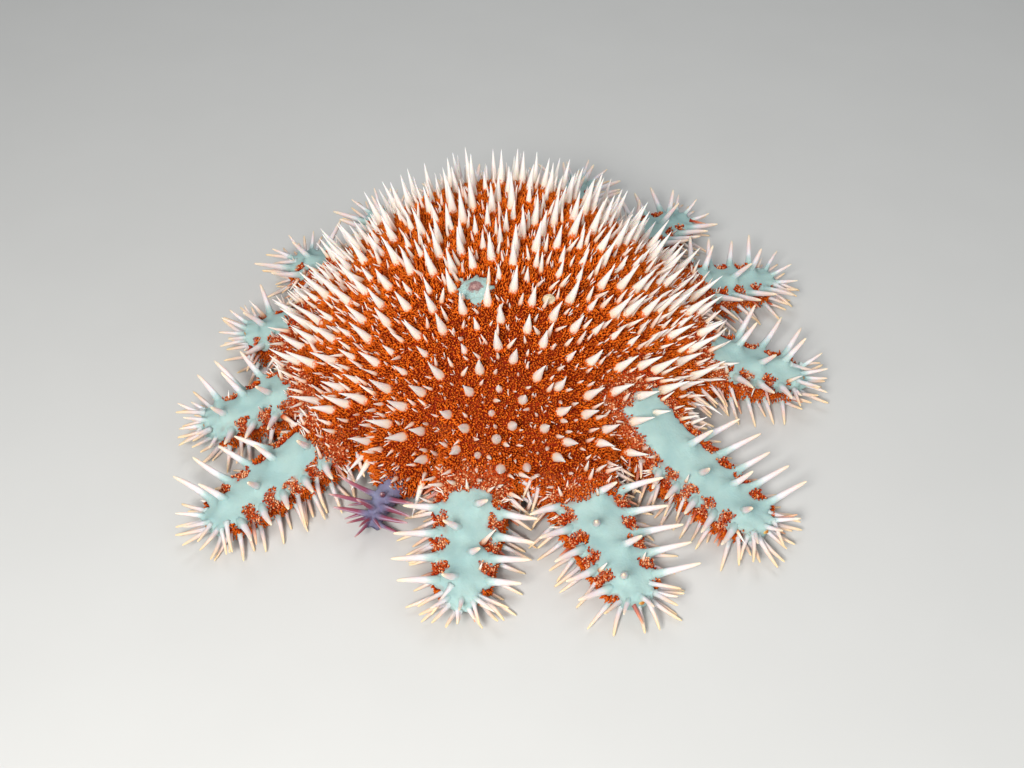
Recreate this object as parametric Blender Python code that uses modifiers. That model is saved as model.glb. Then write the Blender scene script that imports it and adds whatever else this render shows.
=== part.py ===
"""A crown-of-thorns starfish, life size and still, humped up on a level floor.

Metres, +Z up. The origin is on the floor, under the middle of the model's box. The body is one
loft for each arm: a wedge of the disc that narrows into the free arm. A thin planar cut parts each
free arm from the disc. Every spine is a tapered cone set on that skin and fused with its node.
"""

import math
import random
from collections import namedtuple

import bmesh
import bpy
from mathutils import Matrix, Vector
from mathutils.bvhtree import BVHTree

NOTCH_RADIUS = 0.081  # disc centre to the notch between two arms
SEAM_RADIUS = 0.090  # disc centre to the cut that parts an arm from the disc
PART_GAP = 0.0003  # left between two touching pieces

CROWN_HEIGHT = 0.067  # skin above the floor at the disc's centre
ARM_SKIN_HEIGHT = 0.010  # what the skin's height falls towards along an arm
SHOULDER_RADIUS = 0.065  # where the hump has fallen half way
SHOULDER_POWER = 5.0
SIDE_SHARE = 0.48  # height of the widest part, as a share of the top's height
ARCH_HEIGHT = 0.028  # the underside's rise at the mouth
ARCH_RADIUS = 0.093  # where the underside comes down to the floor
MARGIN_BAND = 0.020  # width of the rounded margin between two arms

ARM_HALF_WIDTH = 0.0135  # at the seam
ARM_TAPER = 0.35  # share of that width lost along the arm
TIP_START = 0.72  # share of the free arm where the tip starts to round off
ROUNDNESS = 2.4
SOLE_HALF = 0.6  # outer edge of the flat soles, as a share of the half width
GROOVE_HALF = 0.3  # edge of the tube-foot groove, as a share of the half width
GROOVE_DEPTH = 0.005
NECK_POWER = 2.2  # how soon a wedge of the disc narrows to its arm's width

MOUTH_RADIUS = 0.014
MOUTH_POCKET = 0.006  # how far the mouth's seat goes up into the disc
FUNNEL_RADIUS, FUNNEL_DEPTH = 0.005, 0.003
LIP_RISE = 0.0006  # the membrane's rim and the funnel's edge stand this far above the arch
LIP_DROP = 0.0004  # and the lip round the funnel hangs this far below it
MOUTH_STEPS = 28

# Azimuths are anticlockwise from +X, in degrees. Reach is from the disc's centre to the skin at the
# tip, sweep is the tip's sideways drift, anticlockwise, girth scales the arm's width, and loft its height.
Arm = namedtuple("Arm", "name azimuth reach sweep girth loft")
ARMS = [
    Arm("arm_01", 23, 0.127, -0.003, 1.00, 1.0),
    Arm("arm_02", 49, 0.126, -0.003, 0.95, 1.0),
    Arm("arm_03", 73, 0.129, -0.001, 0.95, 1.0),
    Arm("arm_04", 98, 0.114, 0.002, 0.95, 1.0),
    Arm("arm_05", 122, 0.108, -0.002, 0.95, 1.0),
    Arm("arm_06", 148, 0.105, -0.003, 0.90, 1.0),
    Arm("arm_07", 177, 0.103, 0.001, 0.86, 1.0),
    Arm("arm_08", 202, 0.120, 0.001, 0.95, 1.0),
    Arm("arm_09", 222, 0.139, 0.003, 0.98, 1.0),
    Arm("arm_10_regrowing", 243, 0.104, 0.002, 0.40, 0.60),
    Arm("arm_11", 264, 0.130, 0.002, 0.95, 1.0),
    Arm("arm_12", 290, 0.137, 0.001, 1.00, 1.0),
    Arm("arm_13", 315, 0.135, -0.003, 1.06, 1.0),
    Arm("arm_14", 352, 0.121, -0.002, 1.00, 1.0),
]

DISC_ROWS = [0.0, 0.019, 0.036, 0.049, 0.059, 0.067, 0.075, NOTCH_RADIUS]
NECK_ROWS = [0.3, 1.0]  # shares of the way from the notch to the seam
FREE_ROWS = [0.0, 0.22, 0.44, 0.64, 0.80, 0.92, 0.98, 1.0]  # shares of the free arm
TOP_COLUMNS = [-1.0, -0.76, -0.4, 0.0, 0.4, 0.76, 1.0]  # shares of the half width
UNDER_COLUMNS = [-1.0, -SOLE_HALF, -GROOVE_HALF, 0.0, GROOVE_HALF, SOLE_HALF, 1.0]

# A sieve plate's distance from the disc's centre, its azimuth, radius and rise above the skin.
Plate = namedtuple("Plate", "name distance azimuth radius rise")
PLATES = [
    Plate("sieve_plate_large", 0.034, 256, 0.0052, 0.0016),
    Plate("sieve_plate_small", 0.040, 297, 0.0030, 0.0018),
]
PLATE_DEPTH = 0.0025  # how deep a sieve plate sits in its pocket
PLATE_LIP = 0.0005  # height of its rim above the skin
PLATE_STEPS = 20
POCKET_TOP = 0.008  # how far above the skin the cutter of a plate's pocket reaches
SLOPE_STEP = 0.001  # distance over which the skin's slope is measured

SPINE_SIDES = 5
SPINE_ROOT_DEPTH = 0.0024  # how far a spine's root is sunk in the skin
SPINE_CLEARANCE = 0.0004  # least gap between two spines, or a spine and another node
FLOOR_CLEARANCE = 0.0006  # least height of a spine's tip above the floor
TIP_STANDOFF = 0.0012  # least distance from a spine's outer part back to its own skin
SPINE_TRIES = 6  # turns tried before a spine is left out, each one further and shorter
FIRST_TURN, MORE_TURN, SHRINK = 0.06, 0.05, 0.06
TEST_STEPS = 10  # points tested along a spine

DISC_SPINES = 325
DISC_SPINE_FIELD = 0.082  # radius out to which the disc's spines stand
DISC_SPINE_LENGTH = 0.0142
DISC_SPINE_RADIUS = 0.0018
DISC_SPINE_TILT = 52.0  # degrees outwards from upright at the edge of the field
TILT_POWER = 1.3  # how late on the way out from the centre the tilt grows
SMALL_SHARE, SMALL_GIRTH = 0.3, 0.75  # share of the spines that are small, and their width
SMALL_LENGTHS, LARGE_LENGTHS = (0.5, 0.7), (0.82, 1.14)  # shares of the length
GOLDEN_ANGLE = 137.508

# Rows of spines along an arm: spacing along the arm, side of the ridge (0 to 1), rise above level in
# the cross-section and lean towards the tip in degrees, length and radius.
Row = namedtuple("Row", "spacing side top rise lean length radius")
RIDGE_ROW = Row(0.0110, 0.20, True, 68, 30, 0.0130, 0.0016)
UPPER_ROW = Row(0.0092, 0.84, True, 26, 22, 0.0170, 0.0017)
LOWER_ROW = Row(0.0084, 0.97, False, -20, 20, 0.0150, 0.0012)
ROW_START, ROW_SPARE = 0.45, 0.35  # shares of a step before the first spine, and added to the rest
# Spines fanned round an arm's tip: turn from the arm's heading and rise above level, in degrees.
FAN_SPINES = [(0, 32), (-38, 22), (38, 22), (-14, -2), (14, -2), (-62, 4), (62, 4)]
FAN_LENGTH, FAN_RADIUS = 0.0125, 0.0011
FAN_SPREAD = 0.006  # from the point that the fan opens from to the skin at the tip
FAN_HEADING, FAN_MIDDLE = 0.003, 0.0005  # how far inside the tip its heading and middle are taken
# Spines that hang from the disc's margin between two arms: turn from the gap's middle, and rise.
MARGIN_SPINES = [(-3.5, -26), (3.5, -26), (0.0, 8)]
MARGIN_LENGTH, MARGIN_RADIUS = 0.0125, 0.0013
MARGIN_DEPTH = 0.001  # how far inside the notch their feet are set

Spine = namedtuple("Spine", "node foot direction length radius")


def smooth_step(low, high, value):
    share = min(1.0, max(0.0, (value - low) / (high - low)))
    return share * share * (3.0 - 2.0 * share)


def arm_gaps(index):
    """Angles from an arm's axis to the middle of the gap on its clockwise and anticlockwise side."""
    here = ARMS[index].azimuth
    before = ARMS[index - 1].azimuth
    after = ARMS[(index + 1) % len(ARMS)].azimuth
    clockwise = ((here - before) % 360) / 2
    anticlockwise = ((after - here) % 360) / 2
    return math.radians(clockwise), math.radians(anticlockwise)


def crown(distance):
    """Height of the skin over the disc and along an arm's ridge."""
    fall = (distance / SHOULDER_RADIUS) ** SHOULDER_POWER
    return ARM_SKIN_HEIGHT + (CROWN_HEIGHT - ARM_SKIN_HEIGHT) / (1.0 + fall)


def underside(distance):
    return ARCH_HEIGHT * max(0.0, 1.0 - (distance / ARCH_RADIUS) ** 2) ** 1.5


def tip_round(arm, distance):
    """1 along an arm, falling to 0 at its tip as an ellipse does."""
    share = (distance - SEAM_RADIUS) / (arm.reach - SEAM_RADIUS)
    past = max(0.0, (share - TIP_START) / (1.0 - TIP_START))
    return math.sqrt(max(0.0, 1.0 - past * past))


def plan_point(index, distance, side):
    """Where a skin point is in plan: on an arc in the disc, on a straight cross-section past it."""
    arm = ARMS[index]
    azimuth = math.radians(arm.azimuth)
    gap = arm_gaps(index)[side > 0]
    if distance <= NOTCH_RADIUS:
        angle = azimuth + side * gap
        return Vector((distance * math.cos(angle), distance * math.sin(angle)))
    neck = min(1.0, (distance - NOTCH_RADIUS) / (SEAM_RADIUS - NOTCH_RADIUS))
    share = max(0.0, (distance - SEAM_RADIUS) / (arm.reach - SEAM_RADIUS))
    free_half = ARM_HALF_WIDTH * arm.girth * (1.0 - ARM_TAPER * share)
    free_half *= tip_round(arm, distance)
    wedge_half = distance * math.sin(gap)
    half = free_half + (wedge_half - free_half) * (1.0 - neck) ** NECK_POWER
    bow = NOTCH_RADIUS * (math.cos(side * gap) - 1.0) * (1.0 - neck) ** 2
    drift = arm.sweep * share * share
    turn = 2.0 * arm.sweep * share / (arm.reach - SEAM_RADIUS)
    along = Vector((math.cos(azimuth), math.sin(azimuth)))
    across = Vector((-along.y, along.x))
    heading = (along + across * turn).normalized()
    sideways = Vector((-heading.y, heading.x))
    return along * (distance + bow) + across * drift + sideways * (side * half)


def heights(index, distance):
    """Heights of the ridge, the widest part and the underside of one cross-section."""
    arm = ARMS[index]
    neck = smooth_step(NOTCH_RADIUS, SEAM_RADIUS, distance)
    ridge = crown(distance) * (1.0 + (arm.loft - 1.0) * neck)
    middle = SIDE_SHARE * ridge
    sole = underside(distance)
    rounding = tip_round(arm, distance)
    return middle + (ridge - middle) * rounding, middle, middle - (middle - sole) * rounding


def skin_point(index, distance, side, top):
    """A point of the body's skin. side runs from -1 to 1 across the wedge or the arm."""
    ridge, middle, sole = heights(index, distance)
    margin = smooth_step(NOTCH_RADIUS - MARGIN_BAND, NOTCH_RADIUS, distance)
    if top:
        bulge = (1.0 - margin * abs(side) ** ROUNDNESS) ** (1.0 / ROUNDNESS)
        height = middle + (ridge - middle) * bulge
    else:
        past = max(0.0, (abs(side) - SOLE_HALF) / (1.0 - SOLE_HALF))
        bulge = 1.0 - margin * (1.0 - math.sqrt(max(0.0, 1.0 - past * past)))
        height = middle - (middle - sole) * bulge
        groove = max(0.0, 1.0 - abs(side) / GROOVE_HALF)
        height += GROOVE_DEPTH * ARMS[index].girth * groove * tip_round(ARMS[index], distance)
    plan = plan_point(index, distance, side)
    return Vector((plan.x, plan.y, height))


def add_sheet(mesh, index, rows, columns, top):
    """A grid of faces over one wedge or arm, facing up or down. Returns its rows of points."""
    grid = [
        [mesh.verts.new(skin_point(index, row, column, top)) for column in columns]
        for row in rows
    ]
    for near, far in zip(grid, grid[1:]):
        for i in range(len(columns) - 1):
            face = [near[i], far[i], far[i + 1], near[i + 1]]
            mesh.faces.new(face if top else face[::-1])
    return grid


def close_section(mesh, top_row, under_row, outward):
    """A flat face across the body where an arm is parted from the disc."""
    ring = list(top_row) + list(under_row[-2:0:-1])
    mesh.faces.new(ring if outward else ring[::-1])


def seal(mesh):
    """Joins the sheets' shared edges and drops the faces that close up at a pole or tip."""
    bmesh.ops.remove_doubles(mesh, verts=mesh.verts, dist=1e-6)
    bmesh.ops.dissolve_degenerate(mesh, edges=mesh.edges, dist=1e-7)
    bmesh.ops.triangulate(mesh, faces=mesh.faces)
    bmesh.ops.recalc_face_normals(mesh, faces=mesh.faces)


def disc_body():
    """The disc with the stub of each arm, and a round pocket for the mouth in its underside."""
    mesh = bmesh.new()
    stub = [NOTCH_RADIUS + share * (SEAM_RADIUS - PART_GAP / 2 - NOTCH_RADIUS) for share in NECK_ROWS]
    for index in range(len(ARMS)):
        top = add_sheet(mesh, index, DISC_ROWS + stub, TOP_COLUMNS, True)
        under_rows = [MOUTH_RADIUS + PART_GAP] + DISC_ROWS[2:] + stub
        under = add_sheet(mesh, index, under_rows, UNDER_COLUMNS, False)
        close_section(mesh, top[-1], under[-1], True)
        rim = under[0]
        ceiling = underside(0.0) + MOUTH_POCKET
        wall = [mesh.verts.new((point.co.x, point.co.y, ceiling)) for point in rim]
        middle = mesh.verts.new((0.0, 0.0, ceiling))
        for i in range(len(rim) - 1):
            mesh.faces.new([rim[i + 1], rim[i], wall[i], wall[i + 1]])
            mesh.faces.new([wall[i + 1], wall[i], middle])
    seal(mesh)
    return mesh


def arm_body(index):
    """One free arm, from the seam to its rounded tip."""
    mesh = bmesh.new()
    start = SEAM_RADIUS + PART_GAP / 2
    reach = ARMS[index].reach
    rows = [start + share * (reach - start) for share in FREE_ROWS]
    top = add_sheet(mesh, index, rows, TOP_COLUMNS, True)
    under = add_sheet(mesh, index, rows, UNDER_COLUMNS, False)
    close_section(mesh, top[0], under[0], False)
    seal(mesh)
    return mesh


def segment_gap(first, second):
    """Least gap between two tapered spines, from eleven points along each of them."""
    gaps = []
    for i in range(TEST_STEPS + 1):
        share = i / TEST_STEPS
        offset = first.foot + first.direction * first.length * share - second.foot
        along = max(-SPINE_ROOT_DEPTH, min(second.length, offset.dot(second.direction)))
        apart = (offset - second.direction * along).length
        second_radius = second.radius * (1.0 - max(0.0, along) / second.length)
        gaps.append(apart - first.radius * (1.0 - share) - second_radius)
    return min(gaps)


class SpineBed:
    """Sets spines one by one, each clear of the floor, of the other nodes and of the spines before it."""

    def __init__(self, nodes):
        self.trees = {node.name: world_tree(node) for node in nodes}
        self.spines = []

    def clear_of_bodies(self, spine):
        """Whether it stays off the other nodes, and its outer half off its own."""
        for i in range(TEST_STEPS + 1):
            share = i / TEST_STEPS
            point = spine.foot + spine.direction * spine.length * share
            for name, tree in self.trees.items():
                own = name == spine.node
                if own and share < 0.5:
                    continue
                wanted = spine.radius * (1.0 - share) + (TIP_STANDOFF if own else SPINE_CLEARANCE)
                if tree.find_nearest(point, wanted)[0] is not None:
                    return False
        return True

    def clear_of_spines(self, spine):
        for other in self.spines:
            if (spine.foot - other.foot).length > spine.length + other.length:
                continue
            if min(segment_gap(spine, other), segment_gap(other, spine)) < SPINE_CLEARANCE:
                return False
        return True

    def root_inside(self, spine):
        """Whether the sunk root is well inside its own node."""
        root = spine.foot - spine.direction * SPINE_ROOT_DEPTH
        for name, tree in self.trees.items():
            location, normal, _, distance = tree.find_nearest(root)
            if name == spine.node and (root - location).dot(normal) > 0.0:
                return False
            if name != spine.node and distance < spine.radius + SPINE_CLEARANCE:
                return False
        return True

    def add(self, node, foot, direction, length, radius, chance):
        """Tries the spine as asked, then turned and shorter, and leaves it out after that."""
        location = self.trees[node].find_nearest(foot)[0]
        for attempt in range(SPINE_TRIES):
            turn = FIRST_TURN + MORE_TURN * attempt
            wobble = Vector([chance.uniform(-turn, turn) for _ in range(3)])
            heading = (direction + wobble).normalized()
            size = length * (1.0 - SHRINK * attempt)
            spine = Spine(node, location, heading, size, radius)
            above_floor = (location + heading * size).z >= FLOOR_CLEARANCE
            if above_floor and self.root_inside(spine) and self.clear_of_bodies(spine):
                if self.clear_of_spines(spine):
                    self.spines.append(spine)
                    return


def arm_frame(index, distance):
    """The heading along an arm and the level direction across it, at a distance from the centre."""
    here = plan_point(index, distance, 0.0)
    ahead = plan_point(index, distance + 0.001, 0.0)
    heading = (ahead - here).normalized()
    return Vector((heading.x, heading.y, 0.0)), Vector((-heading.y, heading.x, 0.0))


def set_row(bed, index, row, side, chance):
    """One row of spines along one side of an arm. A ridge row steps from side to side instead.

    A young arm's spines are as thin as it is low, and its length of spine grows back sooner.
    """
    arm = ARMS[index]
    size = arm.loft
    free = arm.reach - SEAM_RADIUS
    count = max(1, round(free / (row.spacing * size)))
    for i in range(count):
        distance = SEAM_RADIUS + free * (i + ROW_START) / (count + ROW_SPARE)
        heading, across = arm_frame(index, distance)
        turned = side or (-1) ** i
        foot = skin_point(index, distance, turned * row.side, row.top)
        rise = math.radians(row.rise)
        direction = across * turned * math.cos(rise) + Vector((0.0, 0.0, math.sin(rise)))
        direction = direction + heading * math.tan(math.radians(row.lean))
        length = row.length * math.sqrt(size) * chance.uniform(0.88, 1.12)
        bed.add(arm.name, foot, direction.normalized(), length, row.radius * size, chance)


def set_fan(bed, index, chance):
    """The spines that stand round an arm's tip."""
    arm = ARMS[index]
    size = arm.loft
    heading, across = arm_frame(index, arm.reach - FAN_HEADING)
    tip = skin_point(index, arm.reach - FAN_MIDDLE, 0.0, True)
    for turn, rise in FAN_SPINES:
        turned, up = math.radians(turn), math.radians(rise)
        level = heading * math.cos(turned) + across * math.sin(turned)
        direction = level * math.cos(up) + Vector((0.0, 0.0, math.sin(up)))
        foot = tip + (direction - heading) * FAN_SPREAD * size
        length = FAN_LENGTH * math.sqrt(size) * chance.uniform(0.85, 1.1)
        bed.add(arm.name, foot, direction, length, FAN_RADIUS * size, chance)


def set_margin_spines(bed, index, chance):
    """Spines that hang from the rounded margin on the anticlockwise side of one arm."""
    middle = ARMS[index].azimuth + math.degrees(arm_gaps(index)[1])
    for turn, rise in MARGIN_SPINES:
        outward, up = outward_at(math.radians(middle + turn)), math.radians(rise)
        foot = outward * (NOTCH_RADIUS - MARGIN_DEPTH)
        foot.z = SIDE_SHARE * crown(NOTCH_RADIUS)
        direction = outward * math.cos(up) + Vector((0.0, 0.0, math.sin(up)))
        length = MARGIN_LENGTH * chance.uniform(0.85, 1.15)
        bed.add("disc", foot, direction, length, MARGIN_RADIUS, chance)


def set_disc_spines(bed, chance):
    """Spines over the hump, spaced as seeds in a flower head are, upright in its middle.

    Towards the rim they tilt outwards, but by less than the skin slopes.
    """
    for i in range(DISC_SPINES):
        distance = DISC_SPINE_FIELD * math.sqrt((i + 0.6) / DISC_SPINES) + chance.uniform(-0.001, 0.001)
        azimuth = math.radians(i * GOLDEN_ANGLE + chance.uniform(-2, 2))
        outward = outward_at(azimuth)
        tilt = math.radians(DISC_SPINE_TILT) * (distance / DISC_SPINE_FIELD) ** TILT_POWER
        direction = outward * math.sin(tilt) + Vector((0.0, 0.0, math.cos(tilt)))
        foot = skin_under(bed.trees["disc"], outward, distance)
        small = chance.random() < SMALL_SHARE
        length = DISC_SPINE_LENGTH * chance.uniform(*(SMALL_LENGTHS if small else LARGE_LENGTHS))
        radius = DISC_SPINE_RADIUS * (SMALL_GIRTH if small else 1.0)
        if foot:
            bed.add("disc", foot, direction, length, radius, chance)


def loose_piece(mesh):
    """An object with this mesh that isn't linked to the scene yet."""
    data = bpy.data.meshes.new("piece")
    mesh.to_mesh(data)
    mesh.free()
    return bpy.data.objects.new("piece", data)


def world_tree(node):
    """The closest-point and ray tests' tree of a node, in world coordinates."""
    bpy.context.view_layer.update()
    graph = bpy.context.evaluated_depsgraph_get()
    mesh = bmesh.new()
    mesh.from_object(node, graph)
    mesh.transform(node.matrix_world)
    tree = BVHTree.FromBMesh(mesh)
    mesh.free()
    return tree


def spine_solid(spine):
    """A tapered cone with its root sunk below the skin, as a mesh object."""
    mesh = bmesh.new()
    whole = spine.length + SPINE_ROOT_DEPTH
    bmesh.ops.create_cone(
        mesh, cap_ends=True, segments=SPINE_SIDES, radius1=spine.radius, radius2=0.0, depth=whole
    )
    turn = spine.direction.to_track_quat("Z", "Y").to_matrix().to_4x4()
    middle = spine.foot + spine.direction * (spine.length - SPINE_ROOT_DEPTH) / 2
    mesh.transform(Matrix.Translation(middle) @ turn)
    return loose_piece(mesh)


def keep_largest(mesh):
    """Drops all but the largest closed surface of a mesh."""
    unseen = set(mesh.faces)
    surfaces = []
    while unseen:
        surface = []
        waiting = [unseen.pop()]
        while waiting:
            face = waiting.pop()
            surface.append(face)
            for edge in face.edges:
                for other in edge.link_faces:
                    if other in unseen:
                        unseen.discard(other)
                        waiting.append(other)
        surfaces.append(surface)
    surfaces.sort(key=len)
    scraps = [face for surface in surfaces[:-1] for face in surface]
    bmesh.ops.delete(mesh, geom=scraps, context="FACES")


def combine(node, pieces, operation):
    """Joins or cuts a node with loose closed pieces by one Boolean, applies it and removes them."""
    group = bpy.data.collections.new(node.name + "_pieces")
    bpy.context.scene.collection.children.link(group)
    for piece in pieces:
        group.objects.link(piece)
    boolean = node.modifiers.new("pieces", "BOOLEAN")
    boolean.operation = operation
    boolean.operand_type = "COLLECTION"
    boolean.collection = group
    boolean.solver = "EXACT"
    bpy.context.view_layer.update()
    graph = bpy.context.evaluated_depsgraph_get()
    joined = bpy.data.meshes.new_from_object(node.evaluated_get(graph))
    node.modifiers.remove(boolean)
    mesh = bmesh.new()
    mesh.from_mesh(joined)
    keep_largest(mesh)
    bmesh.ops.triangulate(mesh, faces=mesh.faces)
    mesh.to_mesh(node.data)
    mesh.free()
    for piece in pieces:
        bpy.data.objects.remove(piece)
    bpy.data.collections.remove(group)


def coloured(name, colour, roughness):
    material = bpy.data.materials.new(name)
    material.use_nodes = True
    surface = material.node_tree.nodes["Principled BSDF"]
    surface.inputs["Base Color"].default_value = (*colour, 1.0)
    surface.inputs["Roughness"].default_value = roughness
    surface.inputs["Metallic"].default_value = 0.0
    return material


def add_node(collection, name, mesh, material):
    data = bpy.data.meshes.new(name)
    mesh.to_mesh(data)
    mesh.free()
    data.materials.append(material)
    node = bpy.data.objects.new(name, data)
    collection.objects.link(node)
    return node


def turned_node(collection, name, profile, steps, material):
    """A solid turned about its own Z axis from a profile of (radius, height) points."""
    data = bpy.data.meshes.new(name)
    edges = [(i, i + 1) for i in range(len(profile) - 1)]
    data.from_pydata([(radius, 0.0, height) for radius, height in profile], edges, [])
    data.materials.append(material)
    node = bpy.data.objects.new(name, data)
    collection.objects.link(node)
    turn = node.modifiers.new("turn", "SCREW")
    turn.steps = turn.render_steps = steps
    turn.use_merge_vertices = True
    turn.merge_threshold = 0.00005
    return node


def mouth(collection, material):
    """The mouth membrane: a turned ring with a blind funnel, seated in the disc's pocket."""
    below = underside(0.0)
    roof = below + MOUTH_POCKET - PART_GAP
    bottom = below + LIP_RISE + FUNNEL_DEPTH
    profile = [
        (0.0, roof),
        (MOUTH_RADIUS, roof),
        (MOUTH_RADIUS, below + LIP_RISE),
        ((MOUTH_RADIUS + FUNNEL_RADIUS) / 2, below - LIP_DROP),
        (FUNNEL_RADIUS, below + LIP_RISE),
        (FUNNEL_RADIUS / 2, bottom),
        (0.0, bottom),
    ]
    return turned_node(collection, "mouth", profile, MOUTH_STEPS, material)


def outward_at(azimuth):
    return Vector((math.cos(azimuth), math.sin(azimuth), 0.0))


def square_to_skin(distance, outward):
    """The direction square to the hump at a distance from its centre."""
    slope = (crown(distance + SLOPE_STEP) - crown(distance - SLOPE_STEP)) / (2 * SLOPE_STEP)
    return (Vector((0.0, 0.0, 1.0)) - outward * slope).normalized()


def skin_under(tree, outward, distance):
    """The disc's skin straight below a place in plan, or None past the skin's edge."""
    return tree.ray_cast(outward * distance + Vector((0.0, 0.0, 1.0)), Vector((0.0, 0.0, -1.0)))[0]


def sieve_plates(collection, disc, material):
    """The two madreporites, the sieve plates that let sea water in, each set in a pocket of the disc."""
    tree = world_tree(disc)
    nodes, pockets = [], []
    for plate in PLATES:
        outward = outward_at(math.radians(plate.azimuth))
        square = square_to_skin(plate.distance, outward)
        turn = square.to_track_quat("Z", "Y").to_matrix().to_4x4()
        place = Matrix.Translation(skin_under(tree, outward, plate.distance)) @ turn
        profile = [
            (0.0, plate.rise * 0.85),
            (plate.radius * 0.38, plate.rise),
            (plate.radius * 0.72, plate.rise * 0.8),
            (plate.radius, PLATE_LIP),
            (plate.radius, -PLATE_DEPTH),
            (0.0, -PLATE_DEPTH),
        ]
        node = turned_node(collection, plate.name, profile, PLATE_STEPS, material)
        node.matrix_world = place
        nodes.append(node)
        mesh = bmesh.new()
        radius = plate.radius + PART_GAP
        floor = -PLATE_DEPTH - PART_GAP
        bmesh.ops.create_cone(
            mesh, cap_ends=True, segments=PLATE_STEPS, radius1=radius, radius2=radius,
            depth=POCKET_TOP - floor,
        )
        mesh.transform(place @ Matrix.Translation((0.0, 0.0, (POCKET_TOP + floor) / 2)))
        pockets.append(loose_piece(mesh))
    combine(disc, pockets, "DIFFERENCE")
    return nodes


def stand_on_origin(nodes):
    """Moves every node alike, so that the origin is under the middle of the whole model's box."""
    bpy.context.view_layer.update()
    graph = bpy.context.evaluated_depsgraph_get()
    corners = [
        node.matrix_world @ Vector(corner)
        for node in nodes
        for corner in node.evaluated_get(graph).bound_box
    ]
    middle_x = (min(c.x for c in corners) + max(c.x for c in corners)) / 2
    middle_y = (min(c.y for c in corners) + max(c.y for c in corners)) / 2
    for node in nodes:
        node.location -= Vector((middle_x, middle_y, 0.0))


def main():
    for leftover in list(bpy.data.objects):
        bpy.data.objects.remove(leftover)
    parts = bpy.data.collections.new("crown_of_thorns_starfish")
    bpy.context.scene.collection.children.link(parts)
    velvet = coloured("orange red skin", (0.62, 0.10, 0.02), 0.7)
    teal = coloured("pale teal skin", (0.50, 0.70, 0.68), 0.6)
    lavender = coloured("lavender skin", (0.45, 0.38, 0.58), 0.6)
    cream = coloured("cream skin", (0.80, 0.68, 0.52), 0.6)
    sieve = coloured("pinkish brown plate", (0.50, 0.33, 0.30), 0.7)
    disc = add_node(parts, "disc", disc_body(), velvet)
    arms = []
    for index, arm in enumerate(ARMS):
        finish = lavender if arm.loft < 1.0 else teal
        arms.append(add_node(parts, arm.name, arm_body(index), finish))
    plates = sieve_plates(parts, disc, sieve)
    bed = SpineBed([disc, mouth(parts, cream)] + arms + plates)
    chance = random.Random(7)
    for index in range(len(ARMS)):
        set_row(bed, index, RIDGE_ROW, 0, chance)
        set_fan(bed, index, chance)
        for side in (-1, 1):
            set_row(bed, index, UPPER_ROW, side, chance)
            set_row(bed, index, LOWER_ROW, side, chance)
        set_margin_spines(bed, index, chance)
    set_disc_spines(bed, chance)
    for node in [disc] + arms:
        grown = [spine_solid(spine) for spine in bed.spines if spine.node == node.name]
        combine(node, grown, "UNION")
    stand_on_origin(parts.objects)


main()
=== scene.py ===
"""The looks of a crown-of-thorns starfish, a still model at life size, humped up on a level floor.

Metres, +Z up. Every piece is one closed mesh, or many small closed ones, worked out as whole arrays.
The body's shape and its spines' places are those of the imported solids, so nothing here moves them.
"""

import math

import bpy
import numpy as np
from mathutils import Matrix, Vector
from mathutils.bvhtree import BVHTree
from mathutils.kdtree import KDTree


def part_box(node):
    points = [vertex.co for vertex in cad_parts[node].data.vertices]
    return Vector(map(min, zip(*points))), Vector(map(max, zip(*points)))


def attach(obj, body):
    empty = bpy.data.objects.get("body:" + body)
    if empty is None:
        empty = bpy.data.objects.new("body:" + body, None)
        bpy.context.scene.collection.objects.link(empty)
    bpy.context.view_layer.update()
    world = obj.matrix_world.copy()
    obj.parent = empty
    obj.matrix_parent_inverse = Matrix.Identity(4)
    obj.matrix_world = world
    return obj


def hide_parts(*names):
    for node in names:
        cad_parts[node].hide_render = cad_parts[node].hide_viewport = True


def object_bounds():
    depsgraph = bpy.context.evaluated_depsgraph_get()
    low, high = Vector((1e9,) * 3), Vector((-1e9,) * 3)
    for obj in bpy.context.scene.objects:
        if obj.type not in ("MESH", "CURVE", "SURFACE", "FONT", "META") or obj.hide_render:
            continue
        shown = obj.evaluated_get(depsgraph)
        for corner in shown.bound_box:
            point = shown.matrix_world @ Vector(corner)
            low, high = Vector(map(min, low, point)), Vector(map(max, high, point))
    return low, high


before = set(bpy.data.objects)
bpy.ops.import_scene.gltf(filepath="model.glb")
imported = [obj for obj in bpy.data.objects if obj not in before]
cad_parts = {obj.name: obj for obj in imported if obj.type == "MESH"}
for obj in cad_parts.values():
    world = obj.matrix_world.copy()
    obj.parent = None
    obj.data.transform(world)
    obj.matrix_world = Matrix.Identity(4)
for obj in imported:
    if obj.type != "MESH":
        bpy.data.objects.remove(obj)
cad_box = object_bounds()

# The body
# A starfish's body wall is one tough skin over a net of small chalky plates: a humped disc that
# runs out into fourteen arms, one of them growing back. Sizes and places are the solids' own.

NOTCH_RADIUS = 0.081  # disc centre to the notch between two arms
SEAM_RADIUS = 0.090  # disc centre to where an arm is free
CROWN_HEIGHT, ARM_SKIN_HEIGHT = 0.067, 0.010
SHOULDER_RADIUS, SHOULDER_POWER = 0.065, 5.0
SIDE_SHARE = 0.48  # height of the widest part, as a share of the top's height
ARCH_HEIGHT, ARCH_RADIUS = 0.028, 0.093
MARGIN_BAND = 0.020
ARM_HALF_WIDTH, ARM_TAPER, TIP_START, ROUNDNESS = 0.0135, 0.35, 0.72, 2.4
SOLE_HALF, GROOVE_HALF, GROOVE_DEPTH = 0.6, 0.3, 0.005
MOUTH_RADIUS, MOUTH_ROOF = 0.014, 0.0345
NECK_POWER = 2.2

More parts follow.
